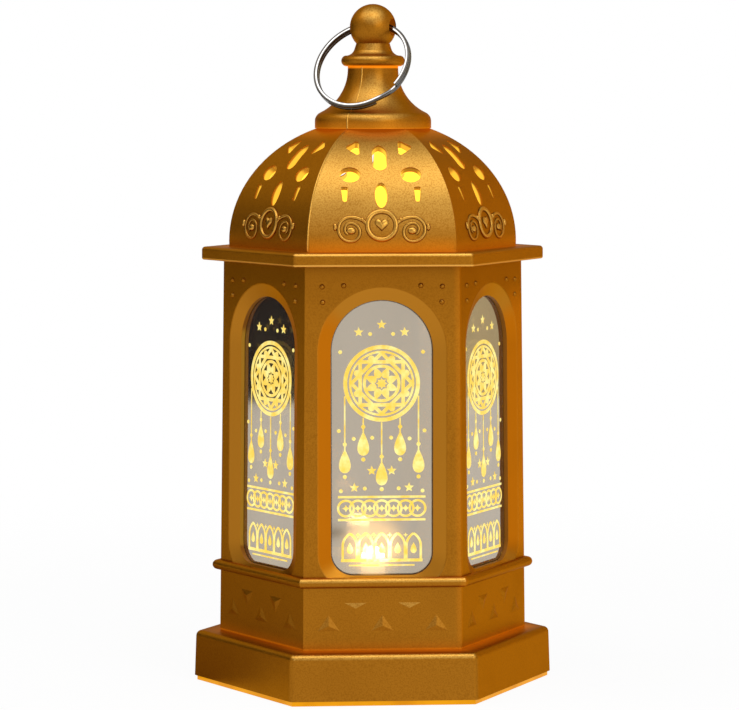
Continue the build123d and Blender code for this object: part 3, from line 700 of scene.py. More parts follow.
@dataclass(frozen=True)
class Glow(Finish):
    """Lit plastic, lamp or print.

    Attributes:
        strength: Light that it gives at its brightest.
        skin: Share of the colour that its surface shows in outside light.
        under: Share of its light left on faces that look straight down.
        low: Height at which it is brightest, in mm.
        high: Height at which it is dimmest, in mm.
        dim: Share of its light left there.
        flare: Light that the lamp adds to what lies in front of it, as a share.
    """

    strength: float = 1.0
    skin: float = 1.0
    under: float = 1.0
    low: float = 0.0
    high: float = 1000.0
    dim: float = 1.0
    flare: float = 0.0

    def paint(self, bench: NodeBench) -> Inputs:
        """Lays out the uneven glow.

        Args:
            bench: Nodes of the material.

        Returns:
            What the shader's inputs get.
        """
        patches = bench.noise(self.grain, 3.0, 0.6)
        warm = patches.fade(0.35, 0.7).blend(self.colour, self.shade)
        rise = bench.height.fade(self.high, self.low) * (1.0 - self.dim) + self.dim
        kept = 1.0 - bench.facing(DOWN).fade(0.6, 0.95) * (1.0 - self.under)
        near = bench.distance(LAMP_PLACE).fade(16.6, 15.4) * self.flare + 1.0
        return {
            "Base Color": bench.vector("MULTIPLY", warm, (self.skin,) * 3),
            "Roughness": patches * 0.15 + (self.roughness - 0.07),
            "Normal": bench.bump(patches, 0.1, 0.00005),
            "Specular IOR Level": 0.5 * self.skin,
            "Emission Color": warm,
            "Emission Strength": rise * kept * self.strength * near,
        }


@dataclass(frozen=True)
class PlatedSteel(Finish):
    """Bright plated wire or sheet with fine drawn streaks, and on a ring a painted reflection. Sizes are in
    mm.

    Attributes:
        centre: Centre of a ring bent from it, where it is one.
        bright: Radius of the line along the ring's face that keeps the bright metal, a painted highlight.
        middle: Radius of the middle of its wire.
        reflected_shade: Colour of its edges, a painted reflection of dim surroundings.
        reflected_flank: Colour of its inner and outer sides, a painted reflection.
    """

    spread: float = 0.18
    centre: Optional[Colour] = None
    bright: float = 9.92
    middle: float = 10.025
    reflected_shade: Colour = (0.065, 0.058, 0.050)
    reflected_flank: Colour = (0.135, 0.127, 0.115)

    def paint(self, bench: NodeBench) -> Inputs:
        """Lays out the streaks, and the painted reflection on a ring.

        Args:
            bench: Nodes of the material.

        Returns:
            What the shader's inputs get.
        """
        streaks = bench.noise(self.grain, 2.0, 0.6, (1.0, 1.0, 0.15))
        metal = streaks.fade(0.3, 0.75).blend(self.colour, self.shade)
        if self.centre is not None:
            # Painted reflection: the ring's edges and sides are laid in dim colours round a bright line.
            radius = bench.distance(self.centre)
            metal = abs(radius - self.bright).fade(0.06, 0.22).blend(metal, self.reflected_shade)
            metal = abs(radius - self.middle).fade(0.41, 0.47).blend(metal, self.reflected_flank)
        return {"Base Color": metal, "Roughness": self.gloss(streaks)}


def added() -> Object:
    """The primitive that was just added, with its place, turn and scale taken into its mesh."""
    bpy.ops.object.transform_apply(location=True, rotation=True, scale=True)
    return bpy.context.object


def work_on(piece: Object) -> None:
    """Makes a piece the only one selected, and active."""
    bpy.ops.object.select_all(action="DESELECT")
    piece.select_set(True)
    bpy.context.view_layer.objects.active = piece


@contextmanager
def editing(piece: Object, chosen: Callable[[MeshVertex], bool] = lambda vertex: True) -> Iterator[None]:
    """Opens a piece in edit mode, and closes it afterwards.

    Args:
        piece: The piece.
        chosen: Says whether a vertex is selected at the start.

    Yields:
        Nothing, while the piece is open.
    """
    work_on(piece)
    bpy.ops.object.mode_set(mode="EDIT")
    bpy.ops.mesh.select_mode(type="VERT")
    bpy.ops.mesh.select_all(action="DESELECT")
    bpy.ops.object.mode_set(mode="OBJECT")
    for vertex in piece.data.vertices:
        vertex.select = chosen(vertex)
    bpy.ops.object.mode_set(mode="EDIT")
    yield
    bpy.ops.object.mode_set(mode="OBJECT")


def extrude(height: float) -> None:
    """Extrudes the selected faces of the open mesh upwards, by a height in mm."""
    bpy.ops.mesh.extrude_region_move(TRANSFORM_OT_translate={"value": (0.0, 0.0, height * MM)})


def face_out() -> None:
    """Selects the whole open mesh and turns its faces outwards."""
    bpy.ops.mesh.select_all(action="SELECT")
    bpy.ops.mesh.normals_make_consistent(inside=False)


def copy_of(piece: Object, matrix: Matrix) -> Object:
    """Copies a piece with its own mesh and moves the copy's mesh.

    Args:
        piece: The piece to copy.
        matrix: Where the copy's mesh goes.

    Returns:
        The copy.
    """
    copy = piece.copy()
    copy.data = piece.data.copy()
    copy.data.transform(matrix)
    bpy.context.scene.collection.objects.link(copy)
    return copy


def join(pieces: Sequence[Object], name: str) -> Object:
    """Joins pieces into one.

    Args:
        pieces: The pieces, the first of which stays.
        name: Name of the joined piece.

    Returns:
        The joined piece.
    """
    work_on(pieces[0])
    for piece in pieces[1:]:
        piece.select_set(True)
    bpy.ops.object.join()
    pieces[0].name = name
    pieces[0].data.name = name
    return pieces[0]


def turned(degrees: float) -> Matrix:
    """Turn about the upright axis."""
    return Matrix.Rotation(math.radians(degrees), 4, "Z")


def all_round(master: Object, stem: str) -> list[Object]:
    """Copies the front side's piece to the other five sides.

    Args:
        master: The piece.
        stem: What the copies' names start with.

    Returns:
        The piece and its copies.
    """
    pieces = [master]
    for index in range(1, FACETS):
        pieces.append(copy_of(master, turned(360.0 / FACETS * index)))
        pieces[-1].name = f"{stem}_{index + 1}"
    return pieces


def clothe(piece: Object, material: Material) -> None:
    """Gives a piece one material in place of any that it has."""
    piece.data.materials.clear()
    piece.data.materials.append(material)


def fit(pieces: Sequence[Object], material: Material) -> None:
    """Finishes pieces that the scene adds to the lantern.

    Args:
        pieces: The pieces.
        material: Their material.
    """
    for piece in pieces:
        clothe(piece, material)
        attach(piece, BODY)
        LOG.info("built %s", piece.name)


@dataclass
class DomeScrolls:
    """Raised ring medallion with a heart, and a scroll at each side of it, on every dome facet.

    Sizes are in mm.

    Attributes:
        wire: Half width of the raised line.
        ring_centre: Place of the medallion, across and up the curve.
        ring_radius: Radius of the medallion's ring.
        ring_wire: Half width of that ring.
        heart_scale: Size of a unit of the heart's curve.
        heart_steps: Rise and narrowing of each step of the heart's dome.
        lead_radius: Radius of the arc from the medallion to the scroll.
        lead_turn: Turn of that arc, in degrees.
        scroll_top: Where the scroll leaves its lead-in, across and up the curve.
        arcs: Radius and turn in degrees of each arc of the scroll after the lead-in.
        taper: Narrowing of the wire after each arc.
    """

    wire: float = 0.40
    ring_centre: Spot = (0.0, 5.35)
    ring_radius: float = 2.85
    ring_wire: float = 0.52
    heart_scale: float = 0.088
    heart_steps: tuple[Spot, ...] = ((0.16, 0.78), (0.09, 0.66), (0.03, 0.5))
    lead_radius: float = 4.6
    lead_turn: float = 45.0
    scroll_top: Spot = (-6.2, 7.0)
    arcs: tuple[Spot, ...] = ((2.45, 180.0), (1.85, 180.0), (1.2, 150.0))
    taper: float = 0.93

    def wrap(self, piece: Object) -> None:
        """Bends a flat shape on to the front facet's curve.

        Args:
            piece: Shape with x across, y up the curve and z out from it, in metres.
        """
        foot = math.asin((EAVE_TOP - DOME_AXIS_LEVEL) / DOME_RADIUS)
        for vertex in piece.data.vertices:
            across, rise, out = vertex.co / MM
            angle = foot + rise / DOME_RADIUS
            reach = DOME_RADIUS + out
            vertex.co = Vector((
                across,
                -(DOME_AXIS_OUT + reach * math.cos(angle)),
                DOME_AXIS_LEVEL + reach * math.sin(angle),
            )) * MM

    def ring(self) -> Object:
        """The medallion's raised ring, flat."""
        bpy.ops.mesh.primitive_torus_add(
            major_radius=self.ring_radius * MM, minor_radius=self.ring_wire * MM,
            major_segments=64, minor_segments=14, location=Vector((*self.ring_centre, 0.0)) * MM)
        piece = added()
        with editing(piece):
            bpy.ops.transform.resize(value=(1.0, 1.0, 0.8))
        return piece

    def heart(self, sides: int = 28) -> Object:
        """The domed heart inside the ring, flat.

        Args:
            sides: Sides of its outline.

        Returns:
            The heart.
        """
        bpy.ops.mesh.primitive_circle_add(vertices=sides, radius=MM, fill_type="NGON")
        piece = added()
        for index, vertex in enumerate(piece.data.vertices):
            turn = math.tau * index / sides
            across = 16 * math.sin(turn) ** 3
            rise = 13 * math.cos(turn) - 5 * math.cos(2 * turn) - 2 * math.cos(3 * turn) - math.cos(4 * turn)
            place = Vector((across, rise)) * self.heart_scale + Vector(self.ring_centre)
            vertex.co = Vector((place.x, place.y + 0.2, -0.1)) * MM
        with editing(piece):
            extrude(0.22)
            for lift, scale in self.heart_steps:
                extrude(lift)
                bpy.ops.transform.resize(value=(scale, scale, 1.0))
            face_out()
        return piece

    def scroll(self) -> Object:
        """The left scroll, flat: a round wire led through tangent arcs that tighten to an eye.

        Returns:
            The scroll.
        """
        top = Vector((*self.scroll_top, 0.0))
        lead = math.radians(self.lead_turn)
        centre = top - Vector((0.0, self.lead_radius, 0.0))
        start = centre + Vector((math.sin(lead), math.cos(lead), 0.0)) * self.lead_radius
        turns = [(centre, self.lead_turn)]
        edge, sign = top, -1.0
        for radius, turn in self.arcs:
            turns.append((edge + Vector((0.0, sign * radius, 0.0)), turn))
            edge = edge + Vector((0.0, 2 * sign * radius, 0.0))
            sign = -sign
        bpy.ops.mesh.primitive_circle_add(
            vertices=10, radius=self.wire * MM, fill_type="NGON",
            location=start * MM, rotation=(math.pi / 2, 0.0, math.pi / 2 - lead))
        piece = added()
        with editing(piece):
            for middle, turn in turns:
                bpy.ops.mesh.spin(steps=max(6, round(turn / 9)), angle=math.radians(turn), center=middle * MM,
                                  axis=DOWN, use_auto_merge=False)
                bpy.ops.transform.resize(value=(self.taper,) * 3)
            bpy.ops.mesh.select_all(action="SELECT")
            bpy.ops.mesh.remove_doubles(threshold=1e-7)
            face_out()
            bpy.ops.transform.resize(value=(1.0, 1.0, 0.75), center_override=(0.0, 0.0, 0.0))
        eye = self.knob((self.scroll_top[0] + 0.1, self.scroll_top[1] - 2.75), (0.95, 0.75))
        link = self.knob((self.ring_centre[0] - 3.85, self.ring_centre[1] + 1.15), (0.42, 0.5))
        leaf = self.knob((self.scroll_top[0] - 3.1, self.scroll_top[1] - 2.0), (0.42, 0.8))
        return join([piece, eye, link, leaf], "scroll_master")

    def knob(self, place: Spot, half: Spot) -> Object:
        """A low oval knob, flat: the scroll's eye, its link to the medallion or the leaf at its side.

        Args:
            place: Place across and up the curve.
            half: Half width and half length.

        Returns:
            The knob.
        """
        bpy.ops.mesh.primitive_uv_sphere_add(segments=18, ring_count=12, radius=MM)
        piece = bpy.context.object
        piece.scale = (*half, 0.45)
        piece.location = Vector((*place, 0.0)) * MM
        return added()

    def build(self, material: Material) -> None:
        """Models the relief of one facet and copies it to all six.

        Args:
            material: Its material.
        """
        left = self.scroll()
        right = copy_of(left, Matrix.Diagonal((-1.0, 1.0, 1.0, 1.0)))
        with editing(right):
            bpy.ops.mesh.flip_normals()
        master = join([self.ring(), self.heart(), left, right], "dome_scroll_1")
        self.wrap(master)
        work_on(master)
        bpy.ops.object.shade_smooth_by_angle(angle=math.radians(50))
        fit(all_round(master, "dome_scroll"), material)


@dataclass
class SeamRidge:
    """Fine ridge where the two halves of the roof's mould met, up two arrises and the spire.

    Sizes are in mm.

    Attributes:
        dome_foot: Height of the dome's foot.
        dome_top: Height of its crown.
        shoulder: Where the flange's upright side ends, radius and height.
        flare_foot: Where the flared stem starts, radius and height.
        flare_top: Where it ends, radius and height.
        shoulder_radius: Radius of the flange's round shoulder.
        flare_radius: Radius of the stem's hollow curve, below 0 because it is hollow.
        half_width: Half width of the ridge.
        proud: Height of its crest above its edges.
        sunk: Depth of its edges below the roof's face.
        turn: Direction of the front ridge, in degrees from +X.
    """

    dome_foot: float = 90.4
    dome_top: float = 114.5
    shoulder: Spot = (12.0, 115.95)
    flare_foot: Spot = (10.85, 117.75)
    flare_top: Spot = (5.2, 127.0)
    shoulder_radius: float = 2.0
    flare_radius: float = -9.9
    half_width: float = 0.2
    proud: float = 0.16
    sunk: float = 0.05
    turn: float = 240.0

    def arc(self, start: Spot, end: Spot, radius: float, steps: int) -> list[Vector]:
        """Points of an arc in the upright plane through the axis.

        Args:
            start: Its start, radius and height.
            end: Its end.
            radius: Its radius, above 0 where it bulges out and below 0 where it is hollow.
            steps: Number of steps.

        Returns:
            The points, without the start.
        """
        first, last = Vector(start), Vector(end)
        chord = last - first
        side = Vector((-chord.y, chord.x)).normalized() * math.copysign(1.0, radius)
        centre = (first + last) / 2 + side * math.sqrt(radius ** 2 - (chord.length / 2) ** 2)
        turn = math.copysign(2 * math.asin(chord.length / 2 / abs(radius)), radius)
        points = []
        for step in range(1, steps + 1):
            spoke = first - centre
            spoke.rotate(Matrix.Rotation(turn * step / steps, 2))
            points.append(centre + spoke)
        return points

    def arris(self, steps: int = 48) -> list[Vector]:
        """Points up the dome's arris, from its foot to its crown.

        Args:
            steps: Number of steps.

        Returns:
            The points, radius and height.
        """
        points = []
        for step in range(steps + 1):
            height = self.dome_foot + (self.dome_top - self.dome_foot) * step / steps
            out = DOME_AXIS_OUT + math.sqrt(DOME_RADIUS ** 2 - (height - DOME_AXIS_LEVEL) ** 2)
            points.append(Vector((out / math.cos(math.pi / FACETS), height)))
        return points

    def stem(self) -> list[Vector]:
        """Points up the flange and the flared stem."""
        points = [Vector((self.shoulder[0], self.dome_top)), Vector(self.shoulder)]
        points += self.arc(self.shoulder, self.flare_foot, self.shoulder_radius, 8)
        return points + self.arc(self.flare_foot, self.flare_top, self.flare_radius, 30)

    def ridge(self, path: Sequence[Vector]) -> Object:
        """Lays a rounded strip along a path in the plane x-z.

        Args:
            path: Points of the path, radius and height.

        Returns:
            The strip.
        """
        last = len(path) - 1
        bpy.ops.mesh.primitive_grid_add(x_subdivisions=6, y_subdivisions=last, size=1.0)
        piece = added()
        for vertex in piece.data.vertices:
            index = round((vertex.co.y + 0.5) * last)
            side = 2 * vertex.co.x
            along = (path[min(index + 1, last)] - path[max(index - 1, 0)]).normalized()
            lift = self.proud * (1 - side ** 2) - self.sunk
            point = path[index] + Vector((along.y, -along.x)) * lift
            vertex.co = Vector((point.x, side * self.half_width, point.y)) * MM
        return piece

    def build(self, material: Material) -> None:
        """Models the front ridge and copies it to the back.

        Args:
            material: Its material.
        """
        master = join([self.ridge(self.arris()), self.ridge(self.stem())], "roof_seam_1")
        with editing(master):
            face_out()
        bpy.ops.object.shade_smooth_by_angle(angle=math.radians(60))
        back = copy_of(master, turned(self.turn - 180.0))
        back.name = "roof_seam_2"
        master.data.transform(turned(self.turn))
        fit([master, back], material)


@dataclass
class PanePrint:
    """Glowing print on the panes: star rosette, bead strings, linked rings and a row of pointed arches.

    Sizes are in mm, and places on the pane are across and up the facet from the cage's foot.

    Attributes:
        face_out: Distance of the pane's front face from the axis at the cage's foot.
        draft: Lean of the facet, in degrees.
        thickness: Thickness of the print.
        line: Width of the print's thin lines.
        rosette_rise: Height of the rosette's middle.
        rosette_radius: Radius of its outer ring.
        petals: Number of its petals.
        hung: Place across, top and foot of each bead string.
        stars: Places of the small stars.
        dots: Places of the small dots.
        chain_rise: Height of the linked rings.
        chain_pitch: Distance between them.
        sill_rise: Height of the arches' feet.
        arch_pitch: Distance between the arches.
    """

    face_out: float = 25.6
    draft: float = 0.669
    thickness: float = 0.05
    line: float = 0.44
    rosette_rise: float = 53.5
    rosette_radius: float = 7.7
    petals: int = 8
    hung: tuple[Colour, ...] = (
        (-7.4, 51.0, 35.5), (-3.7, 46.6, 39.0), (0.0, 45.7, 33.0), (3.7, 46.6, 39.0), (7.4, 51.0, 35.5))
    stars: tuple[Spot, ...] = (
        (0.0, 65.3), (-4.6, 63.8), (4.6, 63.8), (-5.5, 32.6), (5.5, 32.6), (-2.0, 36.0), (2.0, 36.0))
    dots: tuple[Spot, ...] = (
        (-8.3, 59.8), (8.3, 59.8), (-2.3, 63.4), (2.3, 63.4), (-8.6, 44.0), (8.6, 44.0), (-5.6, 42.4),
        (5.6, 42.4), (-1.9, 42.6), (1.9, 42.6), (-8.2, 31.9), (8.2, 31.9), (-3.4, 32.4), (3.4, 32.4))
    chain_rise: float = 28.4
    chain_pitch: float = 2.4
    sill_rise: float = 18.2
    arch_pitch: float = 3.2

    def disc(self, radius: float, sides: int = 20) -> Object:
        """Flat disc."""
        bpy.ops.mesh.primitive_circle_add(vertices=sides, radius=radius * MM, fill_type="NGON")
        return added()

    def hoop(self, radius: float, width: float, sides: int = 48, turn: float = 0.0) -> Object:
        """Flat ring, or a frame with a few sides.

        Args:
            radius: Outer radius.
            width: Width of the line.
            sides: Number of sides.
            turn: Turn in degrees.

        Returns:
            The flat ring.
        """
        piece = self.disc(radius, sides)
        piece.data.transform(turned(turn))
        with editing(piece):
            bpy.ops.mesh.inset(thickness=width * MM)
            bpy.ops.mesh.delete(type="FACE")
        return piece

    def star(self, radius: float, points: int, depth: float) -> Object:
        """Flat star, one point up.

        Args:
            radius: Radius at its points.
            points: Number of points.
            depth: Radius between the points, as a share.

        Returns:
            The flat star.
        """
        piece = self.disc(radius, 2 * points)
        with editing(piece, lambda vertex: vertex.index % 2 == 1):
            bpy.ops.transform.resize(value=(depth, depth, 1.0))
        return piece

    def drop(self, width: float, length: float, sides: int = 24) -> Object:
        """Flat drop with its point up and its round end at y = 0.

        Args:
            width: Full width.
            length: Full length.
            sides: Number of sides.

        Returns:
            The flat drop.
        """
        piece = self.disc(width / 2, sides)
        for index, vertex in enumerate(piece.data.vertices):
            turn = math.tau * index / sides
            taper = abs(math.sin(turn / 2)) ** 1.4
            vertex.co.x = -0.72 * width * math.sin(turn) * taper * MM
            vertex.co.y = length / 2 * (1 + math.cos(turn)) * MM
        return piece

    def bar(self, width: float, low: float, high: float) -> Object:
        """Flat upright bar.

        Args:
            width: Its width.
            low: Its lower end.
            high: Its upper end.

        Returns:
            The flat bar.
        """
        bpy.ops.mesh.primitive_plane_add(size=1.0, location=(0.0, (low + high) / 2 * MM, 0.0))
        bpy.context.object.scale = (width * MM, (high - low) * MM, 1.0)
        return added()

    def arch(self, half: float, leg: float, width: float) -> Object:
        """Flat outline of a pointed arch that stands on y = 0.

        Args:
            half: Half of its span, to the middle of the line.
            leg: Height of its straight legs.
            width: Width of the line.

        Returns:
            The flat outline.
        """
        piece = self.bar(width, 0.0, leg)
        piece.data.transform(Matrix.Translation((-half * MM, 0.0, 0.0)))
        with editing(piece, lambda vertex: vertex.co.y > 0.5 * leg * MM):
            bpy.ops.mesh.spin(
                steps=8, angle=-math.radians(60.0), center=(half * MM, leg * MM, 0.0), axis=DOWN)
        return join([piece, copy_of(piece, Matrix.Diagonal((-1.0, 1.0, 1.0, 1.0)))], "arch_master")

    def put(self, piece: Object, places: Sequence[Spot], turn: float = 0.0) -> list[Object]:
        """Copies a flat shape to places on the pane and drops the master.

        Args:
            piece: Flat shape round the origin.
            places: The places.
            turn: Turn in degrees.

        Returns:
            The copies.
        """
        moves = [Matrix.Translation((x * MM, y * MM, 0.0)) @ turned(turn) for x, y in places]
        copies = [copy_of(piece, move) for move in moves]
        bpy.data.objects.remove(piece, do_unlink=True)
        return copies

    def rosette(self) -> list[Object]:
        """Two crossed squares in a ring, with petals round a small star.

        Returns:
            The flat shapes.
        """
        middle = Vector((0.0, self.rosette_rise))
        radius = self.rosette_radius
        shapes = self.put(self.hoop(radius, 0.80), [middle])
        shapes += self.put(self.hoop(radius - 1.15, self.line), [middle])
        for turn in (0.0, 45.0):
            shapes += self.put(self.hoop(radius - 1.1, 0.72, 4, turn), [middle])
        shapes += self.put(self.hoop(0.49 * radius, 0.6, 40), [middle])
        for index in range(self.petals):
            turn = 360.0 / self.petals * (index + 0.5)
            spoke = Vector((math.sin(math.radians(turn)), math.cos(math.radians(turn))))
            shapes += self.put(self.drop(1.5, 2.45), [middle + 1.15 * spoke], -turn)
            shapes += self.put(self.disc(0.66, 16), [middle + 5.35 * spoke])
        return shapes + self.put(self.star(1.15, 8, 0.62), [middle])

    def strings(self) -> list[Object]:
        """Bead strings that hang from the rosette, each with a long drop at its end.

        Returns:
            The flat shapes.
        """
        shapes: list[Object] = []
        for across, top, foot in self.hung:
            shapes += self.put(self.bar(0.27, foot + 3.9, top), [(across, 0.0)])
            shapes += self.put(self.drop(2.3, 5.0), [(across, foot)])
            shapes += self.put(self.disc(0.42, 12), [(across, foot - 0.75), (across, foot + 5.8)])
        return shapes

    def scatter(self) -> list[Object]:
        """Small stars and dots in the free spaces."""
        return self.put(self.star(1.0, 5, 0.45), self.stars) + self.put(self.disc(0.40, 10), self.dots)

    def chain(self) -> list[Object]:
        """Band of linked rings with a lozenge in each, between two lines.

        Returns:
            The flat shapes.
        """
        places = [(self.chain_pitch * index, self.chain_rise) for index in range(-3, 4)]
        shapes = self.put(self.hoop(1.8, 0.45, 28), places)
        shapes += self.put(self.star(0.72, 4, 0.5), places)
        for rise in (-2.3, 2.3):
            shapes += self.put(self.bar(0.45, -8.8, 8.8), [(0.0, self.chain_rise + rise)], 90.0)
        return shapes

    def arcade(self) -> list[Object]:
        """Row of pointed arches on a sill, with a lamp drop in each.

        Returns:
            The flat shapes.
        """
        rise, pitch = self.sill_rise, self.arch_pitch
        places = [(pitch * index, rise) for index in range(-2, 3)]
        shapes = self.put(self.arch(1.45, 2.6, 0.48), places)
        shapes += self.put(self.drop(1.2, 2.2), [(x, y + 1.1) for x, y in places])
        shapes += self.put(self.bar(0.60, -8.2, 8.2), [(0.0, rise - 0.3)], 90.0)
        shapes += self.put(self.bar(0.30, -6.6, 6.6), [(0.0, rise - 1.3)], 90.0)
        return shapes + self.put(self.star(0.5, 4, 0.4), [(x + pitch / 2, y + 4.8) for x, y in places[:-1]])

    def build(self, material: Material) -> None:
        """Models the print of one pane, stands it on the pane's face and copies it to all six.

        Args:
            material: Its material.
        """
        shapes = self.rosette() + self.strings() + self.scatter() + self.chain() + self.arcade()
        master = join(shapes, "pane_print_1")
        with editing(master):
            extrude(self.thickness)
            face_out()
        lean = Matrix.Rotation(math.pi / 2 - math.radians(self.draft), 4, "X")
        master.data.transform(Matrix.Translation((0.0, -self.face_out * MM, PLINTH_TOP * MM)) @ lean)
        fit(all_round(master, "pane_print"), material)


@dataclass
class Studio:
    """Pale floor, soft light and the camera. Sizes are in metres.

    Attributes:
        camera_place: Camera's place.
        camera_turn: Camera's turn about X and Z, in degrees.
        lens: Focal length for a 36 mm wide sensor.
        shift: Sideways shift of the frame.
        floor_size: Side of the floor.
        sky: Strength of the surroundings as light, and what a mirror adds to it.
        floor_white: Share of the floor that shows pure white near the lantern, and what distance adds to it.
    """

    camera_place: Colour = (-0.04696, -0.6748, 0.12285)
    camera_turn: Spot = (85.327, -3.981)
    lens: float = 159.4
    shift: float = -0.00473
    floor_size: float = 8.0
    sky: Spot = (0.44, 0.14)
    floor_white: Spot = (0.93, 0.07)

    def camera(self) -> None:
        """Sets the camera at the viewing angle of the picture."""
        data = bpy.data.cameras.new("camera")
        data.lens, data.sensor_width, data.shift_x = self.lens, 36.0, self.shift
        data.clip_start, data.clip_end = 0.01, 20.0
        camera = bpy.data.objects.new("camera", data)
        camera.location = self.camera_place
        camera.rotation_euler = (math.radians(self.camera_turn[0]), 0.0, math.radians(self.camera_turn[1]))
        bpy.context.scene.collection.objects.link(camera)
        bpy.context.scene.camera = camera

    def ray(self, bench: NodeBench, kind: str) -> Signal:
        """1 for rays of one kind: Camera, Glossy or Transmission."""
        return Signal(bench, bench.add("LightPath").outputs[f"Is {kind} Ray"])

    def plane(self, name: str, size: float, paint: str) -> tuple[Object, NodeBench]:
        """Adds a flat piece of the set with its own material.

        Args:
            name: Its name.
            size: Its side.
            paint: Name of its material.

        Returns:
            The piece, and the bench for its material's nodes.
        """
        bpy.ops.object.select_all(action="DESELECT")
        bpy.ops.mesh.primitive_plane_add(size=size)
        piece = bpy.context.object
        piece.name = name
        material, bench = node_material(paint)
        clothe(piece, material)
        return piece, bench

    def floor(self) -> None:
        """Lays the pale floor, which keeps the shadow and the lamp's glow and is clear from below."""
        floor, bench = self.plane("floor", self.floor_size, "floor_white")
        seen = self.ray(bench, "Camera").most(self.ray(bench, "Glossy"), self.ray(bench, "Transmission"))
        near, far = self.floor_white
        white = seen * (bench.reach.fade(100.0, 320.0) * far + near)
        matt = bench.add("BsdfDiffuse", {"Color": (0.9, 0.9, 0.9)})
        lit = bench.add("Emission", {"Color": WHITE})
        top = bench.add("MixShader", {"Fac": white, "Shader": matt.outputs[0], "Shader_001": lit.outputs[0]})
        below = bench.add("NewGeometry").outputs["Backfacing"]
        clear = bench.add("BsdfTransparent")
        bench.show(bench.add("MixShader", {
            "Fac": below, "Shader": top.outputs[0], "Shader_001": clear.outputs[0]}))
        floor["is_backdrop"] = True

    def world(self) -> None:
        """Sets the white surroundings, with a plain level of light."""
        world = bpy.data.worlds.new("surroundings")
        bpy.context.scene.world = world
        world.use_nodes = True
        bench = NodeBench(world.node_tree)
        plain, mirrored = self.sky
        shown = self.ray(bench, "Camera").most(self.ray(bench, "Transmission"))
        strength = shown.most(self.ray(bench, "Glossy") * mirrored + plain)
        bench.show(bench.add("Background", {"Color": WHITE, "Strength": strength}), "World")

    def lamp(self, name: str, place: Colour, aim: Colour, size: Spot, power: float) -> None:
        """Hangs one soft box.

        Args:
            name: Its name.
            place: Its place.
            aim: Point that it faces.
            size: Width and height.
            power: Power, in watts.
        """
        data = bpy.data.lights.new(name, "AREA")
        data.shape = "RECTANGLE"
        data.size, data.size_y = size
        data.energy = power
        lamp = bpy.data.objects.new(name, data)
        lamp.location = place
        lamp.rotation_euler = (Vector(aim) - Vector(place)).to_track_quat("-Z", "Y").to_euler()
        bpy.context.scene.collection.objects.link(lamp)

    def card(self, name: str, place: Colour, aim: Colour, size: Spot, tone: Colour) -> None:
        """Stands a matt card beside the set, out of the camera's sight.

        Args:
            name: Its name.
            place: Its middle.
            aim: Point that it faces.
            size: Width and height.
            tone: Its colour.
        """
        card, bench = self.plane(name, 1.0, name + "_paint")
        card.scale = (*size, 1.0)
        card.location = place
        card.rotation_euler = (Vector(aim) - Vector(place)).to_track_quat("Z", "Y").to_euler()
        bench.show(bench.add("BsdfDiffuse", {"Color": tone}))
        card.visible_camera = card.visible_shadow = card.visible_diffuse = False
        card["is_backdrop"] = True

    def build(self) -> None:
        """Sets up the whole studio."""
        bpy.context.scene.view_settings.view_transform = "Standard"
        self.camera()
        self.floor()
        self.world()
        self.lamp("top_box", (0.05, -0.35, 0.85), (0.0, 0.0, 0.09), (0.6, 0.45), 2.9)
        self.lamp("front_box", (0.45, -0.9, 0.45), (0.0, 0.0, 0.06), (0.5, 0.5), 2.4)
        self.lamp("left_box", (-0.50, -0.12, 0.82), (0.0, 0.0, 0.11), (0.55, 0.50), 1.8)
        # Cards that only reflections see: the dim ones on the left stand in for shade in the reflections of
        # the left faces, and front_edge puts a band like a table's edge into them.
        self.card("left_card", (-0.60, 0.385, 0.15), (0.0, 0.0, 0.15), (0.8, 0.30), (0.020, 0.016, 0.020))
        self.card("left_mat", (-0.10, 0.055, 0.0005), (-0.10, 0.055, 1.0), (0.13, 0.14), (0.38, 0.30, 0.23))
        self.card("right_card", (0.60, 0.385, 0.25), (0.0, 0.0, 0.25), (0.8, 0.50), (0.95, 0.80, 0.50))
        self.card("front_edge", (-0.14, -0.315, 0.001), (-0.14, -0.315, 1.0), (0.30, 0.020),
                  (0.22, 0.19, 0.14))


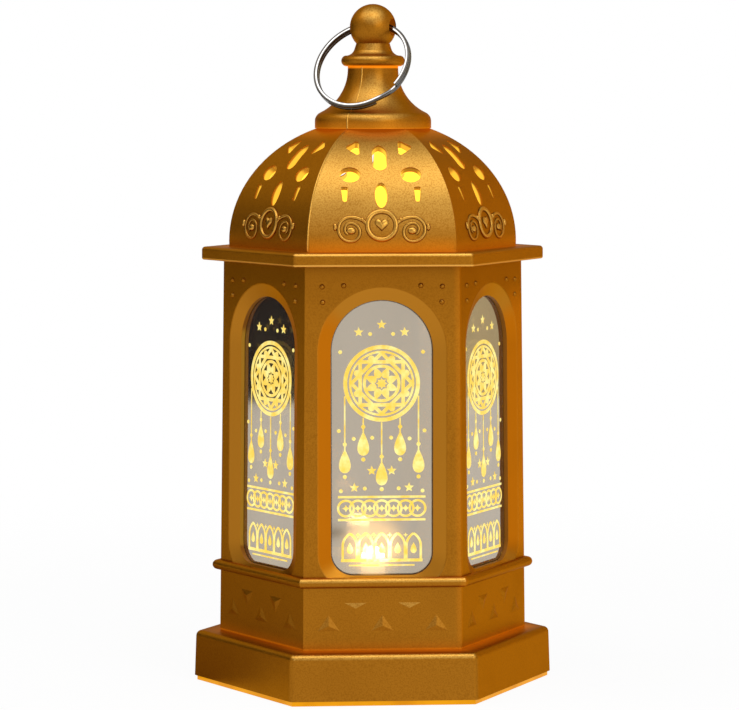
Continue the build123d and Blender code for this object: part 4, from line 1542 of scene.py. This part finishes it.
@dataclass
class Dressing:
    """Finishes of the lantern's own parts.

    Attributes:
        nodes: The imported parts, by name.
    """

    nodes: dict[str, Object]

    def finishes(self) -> list[tuple[Finish, list[str]]]:
        """The finishes, each with the parts that wear it."""
        return [
            (RoofPaint("gold_paint_roof", GOLD, BRONZE, 0.46, 1.0), ["roof_shell"]),
            (CagePaint("gold_paint_cage", GOLD, BRONZE, 0.42, 1.0, lining=0.5), ["window_cage"]),
            (GoldPaint("gold_paint_plinth", GOLD, BRONZE, 0.42, 1.0), ["plinth"]),
            (Glow("amber_plastic", (0.88, 0.36, 0.004), (0.74, 0.27, 0.002), 0.35, grain=120.0, strength=0.92,
                  low=0.0, high=3.0, dim=0.8, skin=0.15, under=0.38), ["bottom_cover", "battery_door"]),
            (HalfMirror("half_mirror_acrylic", (0.55, 0.48, 0.385), (0.51, 0.445, 0.355), 0.05, 0.96),
             [f"window_pane_{index + 1}" for index in range(FACETS)]),
            (PlatedSteel("ring_nickel", (0.66, 0.65, 0.63), (0.52, 0.50, 0.48), 0.14, 1.0, 900.0,
                         centre=(-2.51, -4.53, 127.34)), ["hanging_ring"]),
            (PlatedSteel("zinc_plate", (0.55, 0.55, 0.56), (0.42, 0.42, 0.44), 0.3, 1.0, 1500.0),
             ["base_screws", "switch_screws", "board_screws"]),
            (PlatedSteel("contact_nickel", (0.66, 0.64, 0.58), (0.55, 0.52, 0.46), 0.25, 1.0, 1200.0),
             ["contact_positive", "contact_negative", "switch_housing"]),
            (PlatedSteel("cell_steel", (0.70, 0.70, 0.71), (0.60, 0.60, 0.62), 0.2, 1.0, 700.0),
             ["battery_cells"]),
            (Finish("black_knob", (0.02, 0.02, 0.022), (0.035, 0.035, 0.036), 0.45), ["switch_slider"]),
            (Finish("deck_white", (0.80, 0.77, 0.70), (0.72, 0.68, 0.60), 0.4), ["led_deck"]),
            (Finish("board_mask", (0.03, 0.16, 0.06), (0.02, 0.11, 0.04), 0.35), ["led_board"]),
            (Glow("lamp_warm", (1.0, 0.66, 0.26), (1.0, 0.74, 0.36), 0.15, strength=45.0,
                  low=27.2, high=24.6, dim=0.04), ["led_bulb"]),
            (Finish("resistor_lacquer", (0.55, 0.40, 0.22), (0.40, 0.22, 0.10), 0.35), ["led_resistor"]),
            (Finish("wire_red", (0.45, 0.02, 0.02), (0.36, 0.015, 0.015), 0.4),
             ["wire_positive", "wire_switched"]),
            (Finish("wire_black", (0.015, 0.015, 0.016), (0.03, 0.03, 0.03), 0.4), ["wire_negative"]),
        ]

    def build(self) -> None:
        """Dresses every part."""
        for finish, names in self.finishes():
            material = finish.material()
            for name in names:
                clothe(self.nodes[name], material)
                LOG.info("dressed %s in %s", name, finish.name)


def plain(box: Sequence[Vector]) -> list[list[float]]:
    """A box's two corners as plain lists."""
    return [[float(value) for value in corner] for corner in box]


def main(cad_box: Sequence[Vector]) -> None:
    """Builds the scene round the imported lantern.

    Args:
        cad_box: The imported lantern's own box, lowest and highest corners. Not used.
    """
    logging.basicConfig(level=logging.INFO, format="%(name)s: %(message)s")
    bpy.ops.object.select_all(action="DESELECT")
    Dressing(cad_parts).build()
    # The relief and the seam take PALE_GOLD, a painted highlight.
    relief = ReliefPaint("gold_paint_relief", PALE_GOLD, DEEP_GOLD, 0.32, 1.0, foot_shade=(0.15, 0.045, 0.002))
    seam = ReliefPaint("gold_paint_seam", PALE_GOLD, DEEP_GOLD, 0.34, 1.0)
    ink = Glow("print_glow", (0.92, 0.62, 0.090), (0.95, 0.84, 0.30), 0.4, grain=420.0, strength=1.0,
               low=26.0, high=80.0, dim=0.90, skin=0.25, flare=2.6)
    DomeScrolls().build(relief.material())
    SeamRidge().build(seam.material())
    PanePrint().build(ink.material())
    Studio().build()


if __name__ == "__main__":
    main(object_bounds())
